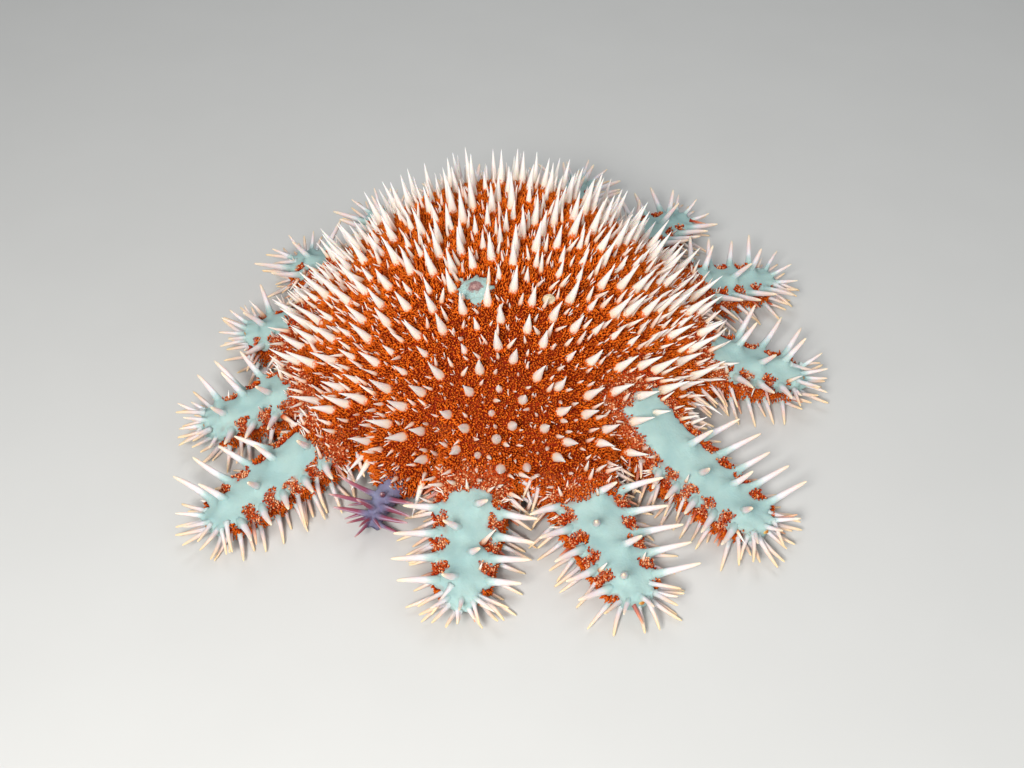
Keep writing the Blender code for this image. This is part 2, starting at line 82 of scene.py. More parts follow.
# Each arm's azimuth in degrees, reach, sideways sweep, girth, loft, and where its teal skin starts.
ARMS = np.array([
    (23, 0.127, -0.003, 1.00, 1.00, 0.0915),
    (49, 0.126, -0.003, 0.95, 1.00, 0.0900),
    (73, 0.129, -0.001, 0.95, 1.00, 0.0900),
    (98, 0.114, 0.002, 0.95, 1.00, 0.0880),
    (122, 0.108, -0.002, 0.95, 1.00, 0.0860),
    (148, 0.105, -0.003, 0.90, 1.00, 0.0850),
    (177, 0.103, 0.001, 0.86, 1.00, 0.0840),
    (202, 0.120, 0.001, 0.95, 1.00, 0.0880),
    (222, 0.139, 0.003, 0.98, 1.00, 0.0927),
    (243, 0.104, 0.002, 0.40, 0.60, 0.0830),
    (264, 0.130, 0.002, 0.95, 1.00, 0.0890),
    (290, 0.137, 0.001, 1.00, 1.00, 0.0950),
    (315, 0.135, -0.003, 1.06, 1.00, 0.0730),
    (352, 0.121, -0.002, 1.00, 1.00, 0.0840),
])
azimuth, reach, sweep, girth, loft, teal_start = ARMS.T
azimuth = np.radians(azimuth)
gap_before = (azimuth - np.roll(azimuth, 1)) % math.tau / 2
gap_after = (np.roll(azimuth, -1) - azimuth) % math.tau / 2
arm_nodes = sorted(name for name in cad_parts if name.startswith("arm_"))
low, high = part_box("mouth")
centre = np.array(((low.x + high.x) / 2, (low.y + high.y) / 2, 0.0))


def ease(low, high, value):
    """Smooth step from 0 at low to 1 at high: three times the share squared less twice it cubed."""
    share = np.clip((value - low) / (high - low), 0.0, 1.0)
    return share * share * (3.0 - 2.0 * share)


def crown(distance):
    """The ridge's height: the arm's height, plus the hump over one plus a power of the distance."""
    fall = (distance / SHOULDER_RADIUS) ** SHOULDER_POWER
    return ARM_SKIN_HEIGHT + (CROWN_HEIGHT - ARM_SKIN_HEIGHT) / (1.0 + fall)


def shares_out(arm, distance):
    """How far along the neck and the free arm a distance lies, each as a share from 0 to 1."""
    neck = np.clip((distance - NOTCH_RADIUS) / (SEAM_RADIUS - NOTCH_RADIUS), 0.0, 1.0)
    return neck, np.clip((distance - SEAM_RADIUS) / (reach[arm] - SEAM_RADIUS), 0.0, 1.0)


def tip_round(arm, distance):
    """1 along an arm, falling to 0 at its tip as the height of an ellipse does."""
    _, share = shares_out(arm, distance)
    past = np.clip((share - TIP_START) / (1.0 - TIP_START), 0.0, 1.0)
    return np.sqrt(1.0 - past**2)


def half_width(arm, distance, side):
    """Half the body's width on one side of an arm's middle line.

    It runs from the wedge's half width at the notch to the free arm's by a power of the way left.
    """
    gap = np.where(side > 0, gap_after[arm], gap_before[arm])
    neck, share = shares_out(arm, distance)
    free_half = ARM_HALF_WIDTH * girth[arm] * (1.0 - ARM_TAPER * share) * tip_round(arm, distance)
    return free_half + (distance * np.sin(gap) - free_half) * (1.0 - neck) ** NECK_POWER


def body_point(arm, distance, side, top):
    """A point of the body's skin, from arrays of the arm's number, the distance out and the side.

    In plan it is on an arc round the centre as far as the notch. Past it the arm drifts aside by
    its sweep times the square of the way out. The top is a superellipse over the widest part. The
    underside is flat to the sole's edge and an ellipse beyond, with a V groove along its middle,
    and rises to a flat roof over the mouth.
    """
    gap = np.where(side > 0, gap_after[arm], gap_before[arm])
    neck, share = shares_out(arm, distance)
    rounding = tip_round(arm, distance)
    half = half_width(arm, distance, side)
    bow = NOTCH_RADIUS * (np.cos(side * gap) - 1.0) * (1.0 - neck) ** 2
    drift = sweep[arm] * share**2
    heading = azimuth[arm] + np.arctan(2.0 * sweep[arm] * share / (reach[arm] - SEAM_RADIUS))
    in_disc = distance <= NOTCH_RADIUS
    around = azimuth[arm] + side * gap
    x = np.cos(azimuth[arm]) * (distance + bow) - np.sin(azimuth[arm]) * drift
    y = np.sin(azimuth[arm]) * (distance + bow) + np.cos(azimuth[arm]) * drift
    x = np.where(in_disc, distance * np.cos(around), x - np.sin(heading) * side * half)
    y = np.where(in_disc, distance * np.sin(around), y + np.cos(heading) * side * half)
    ridge = crown(distance) * (1.0 + (loft[arm] - 1.0) * ease(NOTCH_RADIUS, SEAM_RADIUS, distance))
    middle = SIDE_SHARE * ridge
    margin = ease(NOTCH_RADIUS - MARGIN_BAND, NOTCH_RADIUS, distance)
    across = np.abs(side)
    if top:
        bulge = np.clip(1.0 - margin * across**ROUNDNESS, 0.0, 1.0) ** (1.0 / ROUNDNESS)
        z = middle + (ridge - middle) * rounding * bulge
    else:
        arch = ARCH_HEIGHT * np.clip(1.0 - (distance / ARCH_RADIUS) ** 2, 0.0, 1.0) ** 1.5
        past = np.clip((across - SOLE_HALF) / (1.0 - SOLE_HALF), 0.0, 1.0)
        bulge = 1.0 - margin * (1.0 - np.sqrt(1.0 - past**2))
        z = middle - (middle - arch) * rounding * bulge
        z = z + GROOVE_DEPTH * girth[arm] * np.clip(1.0 - across / GROOVE_HALF, 0.0, 1.0) * rounding
        z = np.where(distance < MOUTH_RADIUS, MOUTH_ROOF, z)
    x, y, z = np.broadcast_arrays(x, y, z)
    return np.stack((x, y, z), -1) + centre


def body_sheet(distances, shares, top):
    """One grid of points per arm, with its arm, distance and side. shares run from -1 to 1 across.

    On an arm the columns are set by a sine, so that they stay evenly spaced round its edge.
    """
    arm = np.arange(len(ARMS))[:, None, None]
    distance = distances[:, :, None]
    margin = ease(NOTCH_RADIUS - MARGIN_BAND, NOTCH_RADIUS, distance)
    if top:
        curved = np.sign(shares) * np.abs(np.sin(shares * math.pi / 2)) ** (2 / ROUNDNESS)
    else:
        past = np.clip((np.abs(shares) - SOLE_HALF) / (1.0 - SOLE_HALF), 0.0, 1.0)
        rounded = SOLE_HALF + (1.0 - SOLE_HALF) * np.sin(past * math.pi / 2)
        curved = np.where(past > 0, np.sign(shares) * rounded, shares)
    side = shares * (1.0 - margin) + curved * margin
    arm, distance, side = np.broadcast_arrays(arm, distance, side)
    return body_point(arm, distance, side, top), arm, distance, side


def sheet_faces(shape, first, up):
    """Two triangles for each cell of the grids, and each corner's row and column."""
    arms, rows, columns = shape
    index = first + np.arange(arms * rows * columns).reshape(shape)
    near, far = index[:, :-1], index[:, 1:]
    corners = [near[:, :, :-1], far[:, :, :-1], far[:, :, 1:], near[:, :, 1:]]
    if not up:
        corners = corners[::-1]
    a, b, c, d = (corner.ravel() for corner in corners)
    return np.concatenate((np.stack((a, b, c), -1), np.stack((a, c, d), -1)))


SKIN_STEP = 0.00115  # about how far apart the skin's points are
UNDER_ROWS, NECK_ROWS, STRAIGHT_ROWS, ROUNDED_ROWS = 36, 9, 22, 13
TOP_COLUMNS, UNDER_COLUMNS, CURVE_STEPS = 29, 25, 400
MOUTH_EDGE = 0.0002  # between the two rows where the skin drops round the mouth
MERGE_DIGITS = 6  # decimals of a metre to which merged points agree
curve = np.linspace(0.0, NOTCH_RADIUS, CURVE_STEPS)
length = np.append(0.0, np.cumsum(np.hypot(np.diff(curve), np.diff(crown(curve)))))
disc_rows = np.interp(np.arange(0.0, length[-1], SKIN_STEP), length, curve)
arched = np.linspace(MOUTH_RADIUS, NOTCH_RADIUS, UNDER_ROWS)[:-1]
under_rows = np.append((0.0, MOUTH_RADIUS - MOUTH_EDGE), arched)
neck_rows = np.linspace(NOTCH_RADIUS, SEAM_RADIUS, NECK_ROWS)
straight = np.linspace(0.0, TIP_START, STRAIGHT_ROWS)[1:]
rounded = TIP_START + (1.0 - TIP_START) * np.sin(np.linspace(0.0, math.pi / 2, ROUNDED_ROWS)[1:])
free_shares = np.concatenate((straight, rounded))
free_rows = SEAM_RADIUS + free_shares * (reach - SEAM_RADIUS)[:, None]


def all_rows(inner):
    """The distances of an arm's rows: those inside the notch, then the neck's and the free arm's."""
    shared = np.tile(np.concatenate((inner, neck_rows)), (len(ARMS), 1))
    return np.concatenate((shared, free_rows), 1)


top_places, top_arm, top_distance, top_side = body_sheet(
    all_rows(disc_rows), np.linspace(-1, 1, TOP_COLUMNS), True
)
low_places, low_arm, low_distance, low_side = body_sheet(
    all_rows(under_rows), np.linspace(-1, 1, UNDER_COLUMNS), False
)
raw_places = np.concatenate((top_places.reshape(-1, 3), low_places.reshape(-1, 3)))
raw_arm = np.concatenate((top_arm.ravel(), low_arm.ravel()))
raw_distance = np.concatenate((top_distance.ravel(), low_distance.ravel()))
raw_side = np.concatenate((top_side.ravel(), low_side.ravel()))
raw_top = np.arange(len(raw_places)) < top_arm.size
raw_faces = np.concatenate((
    sheet_faces(top_arm.shape, 0, True),
    sheet_faces(low_arm.shape, top_arm.size, False),
))
_, kept, merged = np.unique(
    np.round(raw_places, MERGE_DIGITS), axis=0, return_index=True, return_inverse=True
)
skin_faces = merged.ravel()[raw_faces]
whole = (
    (skin_faces[:, 0] != skin_faces[:, 1])
    & (skin_faces[:, 1] != skin_faces[:, 2])
    & (skin_faces[:, 2] != skin_faces[:, 0])
)
skin_faces, raw_faces = skin_faces[whole], raw_faces[whole]
skin_places = raw_places[kept]
skin_arm, skin_distance = raw_arm[kept], raw_distance[kept]
skin_side, skin_top = raw_side[kept], raw_top[kept]


def unit(vectors):
    """Each vector over its own length."""
    return vectors / np.maximum(np.linalg.norm(vectors, axis=-1, keepdims=True), 1e-12)


def point_normals(places, faces):
    """At each point the sum of its faces' normals, each as long as twice the face's area, made unit."""
    a, b, c = places[faces].transpose(1, 0, 2)
    square = np.cross(b - a, c - a)
    total = np.zeros_like(places)
    for corner in range(3):
        for axis in range(3):
            total[:, axis] += np.bincount(faces[:, corner], square[:, axis], len(places))
    return unit(total)


plain_normals = point_normals(skin_places, skin_faces)
plain_skin = BVHTree.FromPolygons(skin_places.tolist(), skin_faces.tolist())

# Where the main spines stand
# Each big spine is a crystal of chalk that turns on its own plate, so their places are the
# solids'. A tip is where the corners round a point add up to little. There the normals of the
# faces all lean alike against the spine's axis, which is what finds it.

SHARP_TIP = math.radians(100)
SLIM_SINE = math.sin(math.radians(20))  # no spine's half angle is wider
ROOT_DEPTH = 0.0024  # how far the solids' spines are sunk
TIP_MARGIN, LONGEST_SPINE = 0.002, 0.03


def spine_places(name):
    """Tips, axes and slimness of the spines on one node. The axis x solves normal dot x = 1.

    It is the least-squares solution over the faces round a tip, each weighted by its corner's
    angle. The slimness is the half angle's tangent, which is the length of x to that of its
    square less one.
    """
    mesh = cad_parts[name].data
    mesh.calc_loop_triangles()
    places = np.empty(len(mesh.vertices) * 3)
    mesh.vertices.foreach_get("co", places)
    places = places.reshape(-1, 3)
    faces = np.empty(len(mesh.loop_triangles) * 3, dtype=np.int32)
    mesh.loop_triangles.foreach_get("vertices", faces)
    places, joined = np.unique(np.round(places, MERGE_DIGITS), axis=0, return_inverse=True)
    faces = joined.ravel()[faces].reshape(-1, 3)
    corners = places[faces]
    square = unit(np.cross(corners[:, 1] - corners[:, 0], corners[:, 2] - corners[:, 0]))
    angles = np.empty((len(faces), 3))
    for corner in range(3):
        ahead = unit(corners[:, (corner + 1) % 3] - corners[:, corner])
        behind = unit(corners[:, (corner + 2) % 3] - corners[:, corner])
        angles[:, corner] = np.arccos(np.clip((ahead * behind).sum(-1), -1.0, 1.0))
    total = np.bincount(faces.ravel(), angles.ravel(), len(places))
    tips = np.flatnonzero(total < SHARP_TIP)
    matrix = np.zeros((len(places), 3, 3))
    vector = np.zeros((len(places), 3))
    for corner in range(3):
        weight = angles[:, corner, None]
        np.add.at(matrix, faces[:, corner], weight[..., None] * square[:, :, None] * square[:, None, :])
        np.add.at(vector, faces[:, corner], weight * square)
    solved = np.linalg.solve(matrix[tips] + 1e-9 * np.eye(3), vector[tips][..., None])[..., 0]
    sine = 1.0 / np.linalg.norm(solved, axis=1)
    sound = sine < SLIM_SINE
    return places[tips][sound], unit(solved[sound]), np.tan(np.arcsin(np.clip(sine[sound], 0.0, 1.0)))


found = [spine_places(name) for name in ["disc"] + arm_nodes]
spine_tip, spine_axis, spine_slim = (np.concatenate(part) for part in zip(*found))
spine_arm = np.repeat(np.arange(len(found)) - 1, [len(tips) for tips, _, _ in found])  # -1 is the disc
spine_length = np.full(len(spine_tip), np.nan)
spine_square = np.zeros_like(spine_tip)  # square to the skin at each foot
spine_face = np.zeros(len(spine_tip), dtype=int)
for i, (tip, axis) in enumerate(zip(spine_tip, spine_axis)):
    hit = plain_skin.ray_cast(Vector(tip - axis * TIP_MARGIN), Vector(-axis), LONGEST_SPINE)
    if hit[0] is not None:
        spine_square[i], spine_face[i], spine_length[i] = hit[1], hit[2], hit[3] + TIP_MARGIN
rooted = ~np.isnan(spine_length)
spine_tip, spine_axis, spine_slim = spine_tip[rooted], spine_axis[rooted], spine_slim[rooted]
spine_arm, spine_length, spine_face = spine_arm[rooted], spine_length[rooted], spine_face[rooted]
spine_square = spine_square[rooted]
spine_foot = spine_tip - spine_axis * spine_length[:, None]
# The solids' spines are five-sided, and slim is measured to the middles of their sides.
spine_radius = spine_slim / math.cos(math.pi / 5) * (spine_length + ROOT_DEPTH)

# The skin
# One leathery skin covers the whole animal and webs up on to every spine. Under the disc's velvet
# it is painted dark red as shade between the papulae; it is pale teal and smooth along the arms,
# and cream underneath.

COAT_DEPTH, BARE_DEPTH = 0.0013, 0.0001  # how far the skin lies inside the solids
YOUNG_DEPTH = 0.0016  # and how much further on the arm that grows back, which is thin
STRIP_HALF = 0.0088  # half the width of the teal strip along an arm, at the seam
CLUSTER_SIDE, CLUSTER_STEP = 0.88, 0.0092  # where beads gather, between the arms' upper spines
CLUSTER_RADIUS = 0.0041
PLATE_PATCH = 0.0061  # radius of the bare teal skin round the large sieve plate
LEAST_FACING = 0.45  # cosine past which a leaning spine's foot is sheared no further
# Where each marking fades in, as the values at which there is none and all of it.
TIP_TEAL = (0.89, 0.94)  # share of the free arm past which it is teal all over
WEB_TEAL, WEB_START = (0.0036, 0.0026), (-0.004, 0.001)  # from an upper spine, and past the strip's start
YOUNG_START, YOUNG_SIDE = (0.0860, 0.0880), (0.0090, 0.0070)  # the lavender, out and aside
UNDER_SIDE, UNDER_START = (0.97, 0.90), (0.080, 0.075)  # the cream, as a share across, and out
GRAIN_START, GRAIN_SIDE = (-0.010, -0.005), (0.0165, 0.0115)  # the beads behind a strip's start
PATCHY_FIELD, PATCHY_START = (0.35, 0.9), (0.062, 0.074)  # and here and there on the disc's rim
PALE_FOOT = (0.0034, 0.0020)  # from a hanging spine's foot

hangs = ease(0.15, -0.25, spine_axis[:, 2])  # 1 on the spines that hang from a flank
on_arm = spine_arm >= 0
young = on_arm & (loft[spine_arm] < 1.0)
raised_arm = on_arm & (hangs < 0.5)
# How high the skin rises on a spine's foot, and how far out: most on the arms' bare skin.
web_height = np.select([young, raised_arm, on_arm], [0.0016, 0.0042, 0.0022], 0.0012)
web_spread = np.select([young, raised_arm, on_arm], [0.0034, 0.0054, 0.0038], 0.0036)


def ripple(places, size, seed):
    """A smooth random field from about -1 to 1: a mean of sine waves about size long, all ways."""
    chance = np.random.default_rng(seed)
    waves = unit(chance.normal(size=(9, 3))) * math.tau / (size * chance.uniform(0.7, 1.4, (9, 1)))
    return 1.65 * np.sin(places @ waves.T + chance.uniform(0, math.tau, 9)).mean(1)


def nearest(places, others):
    """Distance from each place to the nearest of the others."""
    best = np.full(len(places), 1.0)
    for other in others:
        np.minimum(best, np.linalg.norm(places - other, axis=1), out=best)
    return best


def plate_centre(name):
    """The middle of a sieve plate in the solids: half the sum of its box's two ends."""
    low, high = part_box(name)
    return np.array((low + high) / 2)


def cluster_places(arm):
    """The middles of one arm's clusters of beads, half a step after each of its upper spines."""
    free = reach[arm] - SEAM_RADIUS
    count = round(free / CLUSTER_STEP)
    distance = SEAM_RADIUS + free * (np.arange(-1, count - 1) + 0.95) / (count + 0.35)
    sides = [body_point(arm, distance, side, True) for side in (-CLUSTER_SIDE, CLUSTER_SIDE)]
    return np.concatenate(sides)


_, share_out = shares_out(skin_arm, skin_distance)
across = np.abs(skin_side)
lateral = across * half_width(skin_arm, skin_distance, skin_side)
clusters = np.concatenate([cluster_places(arm) for arm in np.flatnonzero(loft == 1.0)])
from_cluster = nearest(skin_places, clusters) + 0.0005 * ripple(skin_places, 0.003, 7)
from_upper = nearest(skin_places, spine_foot[raised_arm])
from_lower = nearest(skin_places, spine_foot[on_arm & ~raised_arm])
from_disc = nearest(skin_places, spine_foot[~on_arm])
from_plate = np.linalg.norm(skin_places - plate_centre("sieve_plate_large"), axis=1)

# The markings, each a mask from 0 to 1. A ripple shakes an edge, so that it runs unevenly.
start = teal_start[skin_arm] + 0.0016 * ripple(skin_places, 0.006, 2)
edge = STRIP_HALF * girth[skin_arm] * (1.0 - 0.34 * share_out) + 0.0006 * ripple(skin_places, 0.007, 1)
strip = ease(-0.0012, 0.0012, skin_distance - start) * ease(0.0006, -0.0006, lateral - edge) * skin_top
strip = strip * ease(CLUSTER_RADIUS - 0.0007, CLUSTER_RADIUS + 0.0001, from_cluster)
strip = np.maximum(strip, ease(*TIP_TEAL, share_out)) * (loft[skin_arm] == 1.0)
webbed = ease(*WEB_TEAL, from_upper) * ease(*WEB_START, skin_distance - start)
uneven_plate = from_plate + 0.0022 * ripple(skin_places, 0.0045, 4)
patch = ease(PLATE_PATCH + 0.0005, PLATE_PATCH - 0.0005, uneven_plate)
lavender = ease(*YOUNG_START, skin_distance + 0.002 * ripple(skin_places, 0.005, 8))
lavender = (loft[skin_arm] < 1.0) * lavender * ease(*YOUNG_SIDE, lateral)
teal = np.maximum.reduce((strip, webbed, patch, lavender))
beneath = np.maximum(ease(*UNDER_SIDE, across), ease(*UNDER_START, skin_distance)) * ~skin_top
beneath = beneath * (1.0 - lavender)
grain = ease(*GRAIN_START, skin_distance - start + 0.003 * ripple(skin_places, 0.009, 5))
grain = grain * ease(*GRAIN_SIDE, lateral) * (loft[skin_arm] == 1.0) * skin_top
patchy = ease(*PATCHY_FIELD, ripple(skin_places, 0.014, 6)) * ease(*PATCHY_START, skin_distance) * skin_top
grain = np.maximum(grain, 0.4 * patchy) * (1.0 - teal)
flank = ease(0.0, 0.003, skin_distance - SEAM_RADIUS) * (1.0 - teal) * (1.0 - beneath)
footed = ease(*PALE_FOOT, from_lower)
clustered = np.clip(1.0 - (from_cluster / CLUSTER_RADIUS) ** 2, 0.0, 1.0) * flank
flesh = (1.0 - teal) * (1.0 - beneath)

# The skin lies deepest under the velvet, and swells to nearly the solids' skin in the clusters.
depth = COAT_DEPTH * (1.0 - 0.5 * grain) * (1.0 - 0.2 * flank) * (1.0 - clustered)
depth = BARE_DEPTH + depth * flesh + YOUNG_DEPTH * lavender
skin_places = skin_places - plain_normals * depth[:, None]
facing = np.maximum((spine_axis * spine_square).sum(1), LEAST_FACING)
spine_depth = depth[skin_faces[spine_face]].mean(1) / facing
sunk_foot = spine_foot - spine_axis * spine_depth[:, None]
rise = np.zeros(len(skin_places))
web = np.zeros_like(skin_places)
for foot, axis, height, spread in zip(sunk_foot, spine_axis, web_height, web_spread):
    apart = np.linalg.norm(skin_places - foot, axis=1)
    near = np.flatnonzero(apart < spread)
    raised = height * (1.0 - apart[near] / spread) ** 2
    higher = raised > rise[near]
    rise[near[higher]] = raised[higher]
    web[near[higher]] = axis * raised[higher, None]
skin_places = skin_places + web
skin_places[:, 2] = np.maximum(skin_places[:, 2], BARE_DEPTH)
skin_normals = point_normals(skin_places, skin_faces)


def unwrap_at(arm, distance, side, top):
    """A place of the skin on its unwrap: the wedges side by side in strips, top over underside."""
    column = (arm + (side + 1.0) / 2) / len(ARMS)
    out = distance / reach.max()
    return np.stack((column, np.where(top, 0.5 + 0.49 * out, 0.49 - 0.48 * out)), -1)


skin_unwrap = unwrap_at(raw_arm, raw_distance, raw_side, raw_top)[raw_faces]


def add_piece(name, places, faces, material):
    """A smooth mesh object from whole arrays: points, and a list of arrays of faces' corners."""
    mesh = bpy.data.meshes.new(name)
    corners = np.concatenate([part.ravel() for part in faces]).astype(np.int32)
    sizes = np.concatenate([np.full(len(part), part.shape[1]) for part in faces])
    mesh.vertices.add(len(places))
    mesh.vertices.foreach_set("co", places.astype(np.float32).ravel())
    mesh.loops.add(len(corners))
    mesh.loops.foreach_set("vertex_index", corners)
    mesh.polygons.add(len(sizes))
    mesh.polygons.foreach_set("loop_start", (np.cumsum(sizes) - sizes).astype(np.int32))
    mesh.update(calc_edges=True)
    mesh.shade_smooth()
    mesh.materials.append(material)
    piece = bpy.data.objects.new(name, mesh)
    bpy.context.scene.collection.objects.link(piece)
    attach(piece, "root")
    return piece


def add_values(piece, **values):
    """A number for each of the piece's points, under a name that its material reads."""
    for name, numbers in values.items():
        attribute = piece.data.attributes.new(name, "FLOAT", "POINT")
        attribute.data.foreach_set("value", np.ascontiguousarray(numbers, dtype=np.float32))


def add_map(piece, corners):
    """The map that the finish is baked through, from each face corner's place on the unwrap."""
    layer = piece.data.uv_layers.new(name="OFBake")
    layer.data.foreach_set("uv", corners.astype(np.float32).ravel())


def feed(tree, socket, value):
    """Gives a shader's input another node's output, a number, or a colour, which is made opaque."""
    if isinstance(value, bpy.types.NodeSocket):
        tree.links.new(value, socket)
    elif isinstance(value, tuple):
        socket.default_value = (*value, 1.0)
    else:
        socket.default_value = value


def node(tree, kind, inputs=None, **settings):
    """Adds a shader node, with its inputs by their names."""
    made = tree.nodes.new("ShaderNode" + kind)
    for name, value in settings.items():
        setattr(made, name, value)
    for name, value in (inputs or {}).items():
        feed(tree, made.inputs[name], value)
    return made


def value_of(tree, name):
    """The number that add_values kept on the piece under this name."""
    return node(tree, "Attribute", attribute_name=name).outputs["Fac"]


def blend(tree, factor, first, second):
    """A mix of two colours by a factor."""
    mix = tree.nodes.new("ShaderNodeMix")
    mix.data_type = "RGBA"
    # A mix node has sockets for every kind of value. These are its factor and its two colours.
    for number, value in ((0, factor), (6, first), (7, second)):
        feed(tree, mix.inputs[number], value)
    return mix.outputs[2]


def sums(tree, operation, first, second):
    """One step of arithmetic on two numbers, kept within 0 and 1."""
    made = node(tree, "Math", operation=operation, use_clamp=True)
    feed(tree, made.inputs[0], first)
    feed(tree, made.inputs[1], second)
    return made.outputs[0]


def shades(tree, factor, stops):
    """A colour read off a scale of (position, colour) stops."""
    made = node(tree, "ValToRGB", {"Fac": factor})
    band = made.color_ramp
    while len(band.elements) < len(stops):
        band.elements.new(1.0)
    for element, (position, colour) in zip(band.elements, stops):
        element.position = position
        element.color = (*colour, 1.0)
    return made.outputs["Color"]


def noise(tree, size, detail=2.0):
    """Cloudy noise with lumps about size across."""
    where = node(tree, "TexCoord").outputs["Object"]
    inputs = {"Vector": where, "Scale": 1.0 / size, "Detail": detail}
    return node(tree, "TexNoise", inputs).outputs["Fac"]


def cells(tree, size):
    """Distances from the middles of scattered cells about size across."""
    where = node(tree, "TexCoord").outputs["Object"]
    return node(tree, "TexVoronoi", {"Vector": where, "Scale": 1.0 / size}).outputs["Distance"]


def new_group(name, inputs, outputs):
    """A shader group with its sockets, given as (name, kind) pairs. Returns it, its way in and out."""
    tree = bpy.data.node_groups.new(name, "ShaderNodeTree")
    for way, sockets in (("INPUT", inputs), ("OUTPUT", outputs)):
        for label, kind in sockets:
            tree.interface.new_socket(label, in_out=way, socket_type="NodeSocket" + kind)
    return tree, tree.nodes.new("NodeGroupInput"), tree.nodes.new("NodeGroupOutput")


def use_group(tree, group, inputs):
    """Places a group in a material, with its own values."""
    made = tree.nodes.new("ShaderNodeGroup")
    made.node_tree = group
    for name, value in inputs.items():
        feed(tree, made.inputs[name], value)
    return made.outputs


def new_finish(name, roughness, soft=0.0):
    """A material with a Principled shader. soft is how much light passes under its surface."""
    material = bpy.data.materials.new(name)
    material.use_nodes = True
    shader = material.node_tree.nodes["Principled BSDF"]
    shader.inputs["Roughness"].default_value = roughness
    shader.inputs["Specular IOR Level"].default_value = 0.12
    shader.inputs["Subsurface Weight"].default_value = soft
    shader.inputs["Subsurface Radius"].default_value = (1.0, 0.5, 0.3)
    shader.inputs["Subsurface Scale"].default_value = 0.0012
    return material, material.node_tree, shader


def finish_with(tree, shader, colour, height=None, relief=0.0002):
    """Feeds a colour, and a height as a bump of the given depth, to the shader."""
    tree.links.new(colour, shader.inputs["Base Color"])
    if height is not None:
        bump = node(tree, "Bump", {"Height": height, "Distance": relief, "Strength": 1.0})
        tree.links.new(bump.outputs["Normal"], shader.inputs["Normal"])


def chalky(tree, shader, colour, relief=0.00006):
    """Finishes a spine in a colour, over the fine grain of its thin skin."""
    finish_with(tree, shader, colour, noise(tree, 0.0005, 3.0), relief)


# Smooth skin: a colour clouded by a deeper one, over a fine leathery grain.
satin, way_in, way_out = new_group(
    "satin_skin",
    [("Pale", "Color"), ("Deep", "Color")],
    [("Color", "Color"), ("Height", "Float")],
)
cloud = shades(satin, noise(satin, 0.009, 4.0), [(0.38, (0, 0, 0)), (0.68, (1, 1, 1))])
fine = noise(satin, 0.0009, 3.0)
mottled = blend(satin, cloud, way_in.outputs["Pale"], way_in.outputs["Deep"])
dimmed = blend(satin, sums(satin, "MULTIPLY", fine, 0.22), mottled, way_in.outputs["Deep"])
satin.links.new(dimmed, way_out.inputs["Color"])
satin.links.new(fine, way_out.inputs["Height"])

TEAL = {"Pale": (0.40, 0.555, 0.525), "Deep": (0.31, 0.465, 0.455)}
LAVENDER = {"Pale": (0.24, 0.25, 0.37), "Deep": (0.15, 0.12, 0.22)}

skin_finish, tree, shader = new_finish("starfish_skin", 0.8, 0.12)
teal_satin = use_group(tree, satin, TEAL)
lavender_satin = use_group(tree, satin, LAVENDER)
under_satin = use_group(tree, satin, {"Pale": (0.66, 0.55, 0.42), "Deep": (0.42, 0.33, 0.33)})
# Painted shade: under the pile the skin is dark red, darker towards its cells' edges, so the gaps between the
# papulae look shadowed.
underpile_shade = shades(tree, cells(tree, 0.0009), [(0.2, (0.46, 0.050, 0.002)), (0.6, (0.20, 0.012, 0.001))])
net = shades(tree, cells(tree, 0.0011), [(0.25, (0.26, 0.022, 0.003)), (0.6, (0.58, 0.16, 0.05))])
colour = blend(tree, value_of(tree, "grain"), underpile_shade, net)
colour = blend(tree, value_of(tree, "beneath"), colour, under_satin["Color"])
colour = blend(tree, sums(tree, "MULTIPLY", value_of(tree, "footed"), 0.9), colour, teal_satin["Color"])
colour = blend(tree, value_of(tree, "teal"), colour, teal_satin["Color"])
colour = blend(tree, value_of(tree, "lavender"), colour, lavender_satin["Color"])
finish_with(tree, shader, colour, teal_satin["Height"], 0.00012)

skin = add_piece("skin", skin_places, [skin_faces], skin_finish)
add_values(skin, teal=teal, lavender=lavender, beneath=beneath, grain=grain, footed=footed)
add_map(skin, skin_unwrap)
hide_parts("disc", *arm_nodes)

# The big spines
# Each is one long crystal of chalk, as long as a finger joint, hinged on its plate and sheathed in
# skin that thins to nothing at the tip. The disc's stand upright, the arms' fan out and hang.

SPINE_SIDES = 8
ROOT_SINK = 0.0012  # how far a spine's lowest ring lies under the skin


def spike_form(sides, rings):
    """The faces of one closed tapered spike with this many rings, and their corners' places.

    A place is (round the spike, along it), both from 0 to 1.
    """
    k = np.arange(sides)
    after = (k + 1) % sides
    first = np.arange(rings - 1)[:, None] * sides
    above = first + sides
    walls = np.stack(np.broadcast_arrays(first + k, first + after, above + after, above + k), -1)
    walls = walls.reshape(-1, 4)
    last = (rings - 1) * sides
    points = np.stack((last + k, last + after, np.full(sides, rings * sides)), -1)
    root = k[::-1][None]
    level = np.arange(rings) / rings
    wall_u = np.stack(np.broadcast_arrays(k, k + 1, k + 1, k), -1)[None].repeat(rings - 1, 0)
    wall_v = np.stack((level[:-1], level[:-1], level[1:], level[1:]), -1)[:, None].repeat(sides, 1)
    point_v = np.tile((level[-1], level[-1], 1.0), (sides, 1))
    maps = [
        np.stack((wall_u / sides, wall_v), -1).reshape(-1, 2),
        np.stack((np.stack((k, k + 1, k + 0.5), -1) / sides, point_v), -1).reshape(-1, 2),
        np.stack((0.5 + 0.5 * np.cos(root[0] * math.tau / sides), np.zeros(sides)), -1),
    ]
    return [walls, points, root], maps


SHEARED_SHARE = 0.25  # of a spike's length, over which the shear at its foot fades out


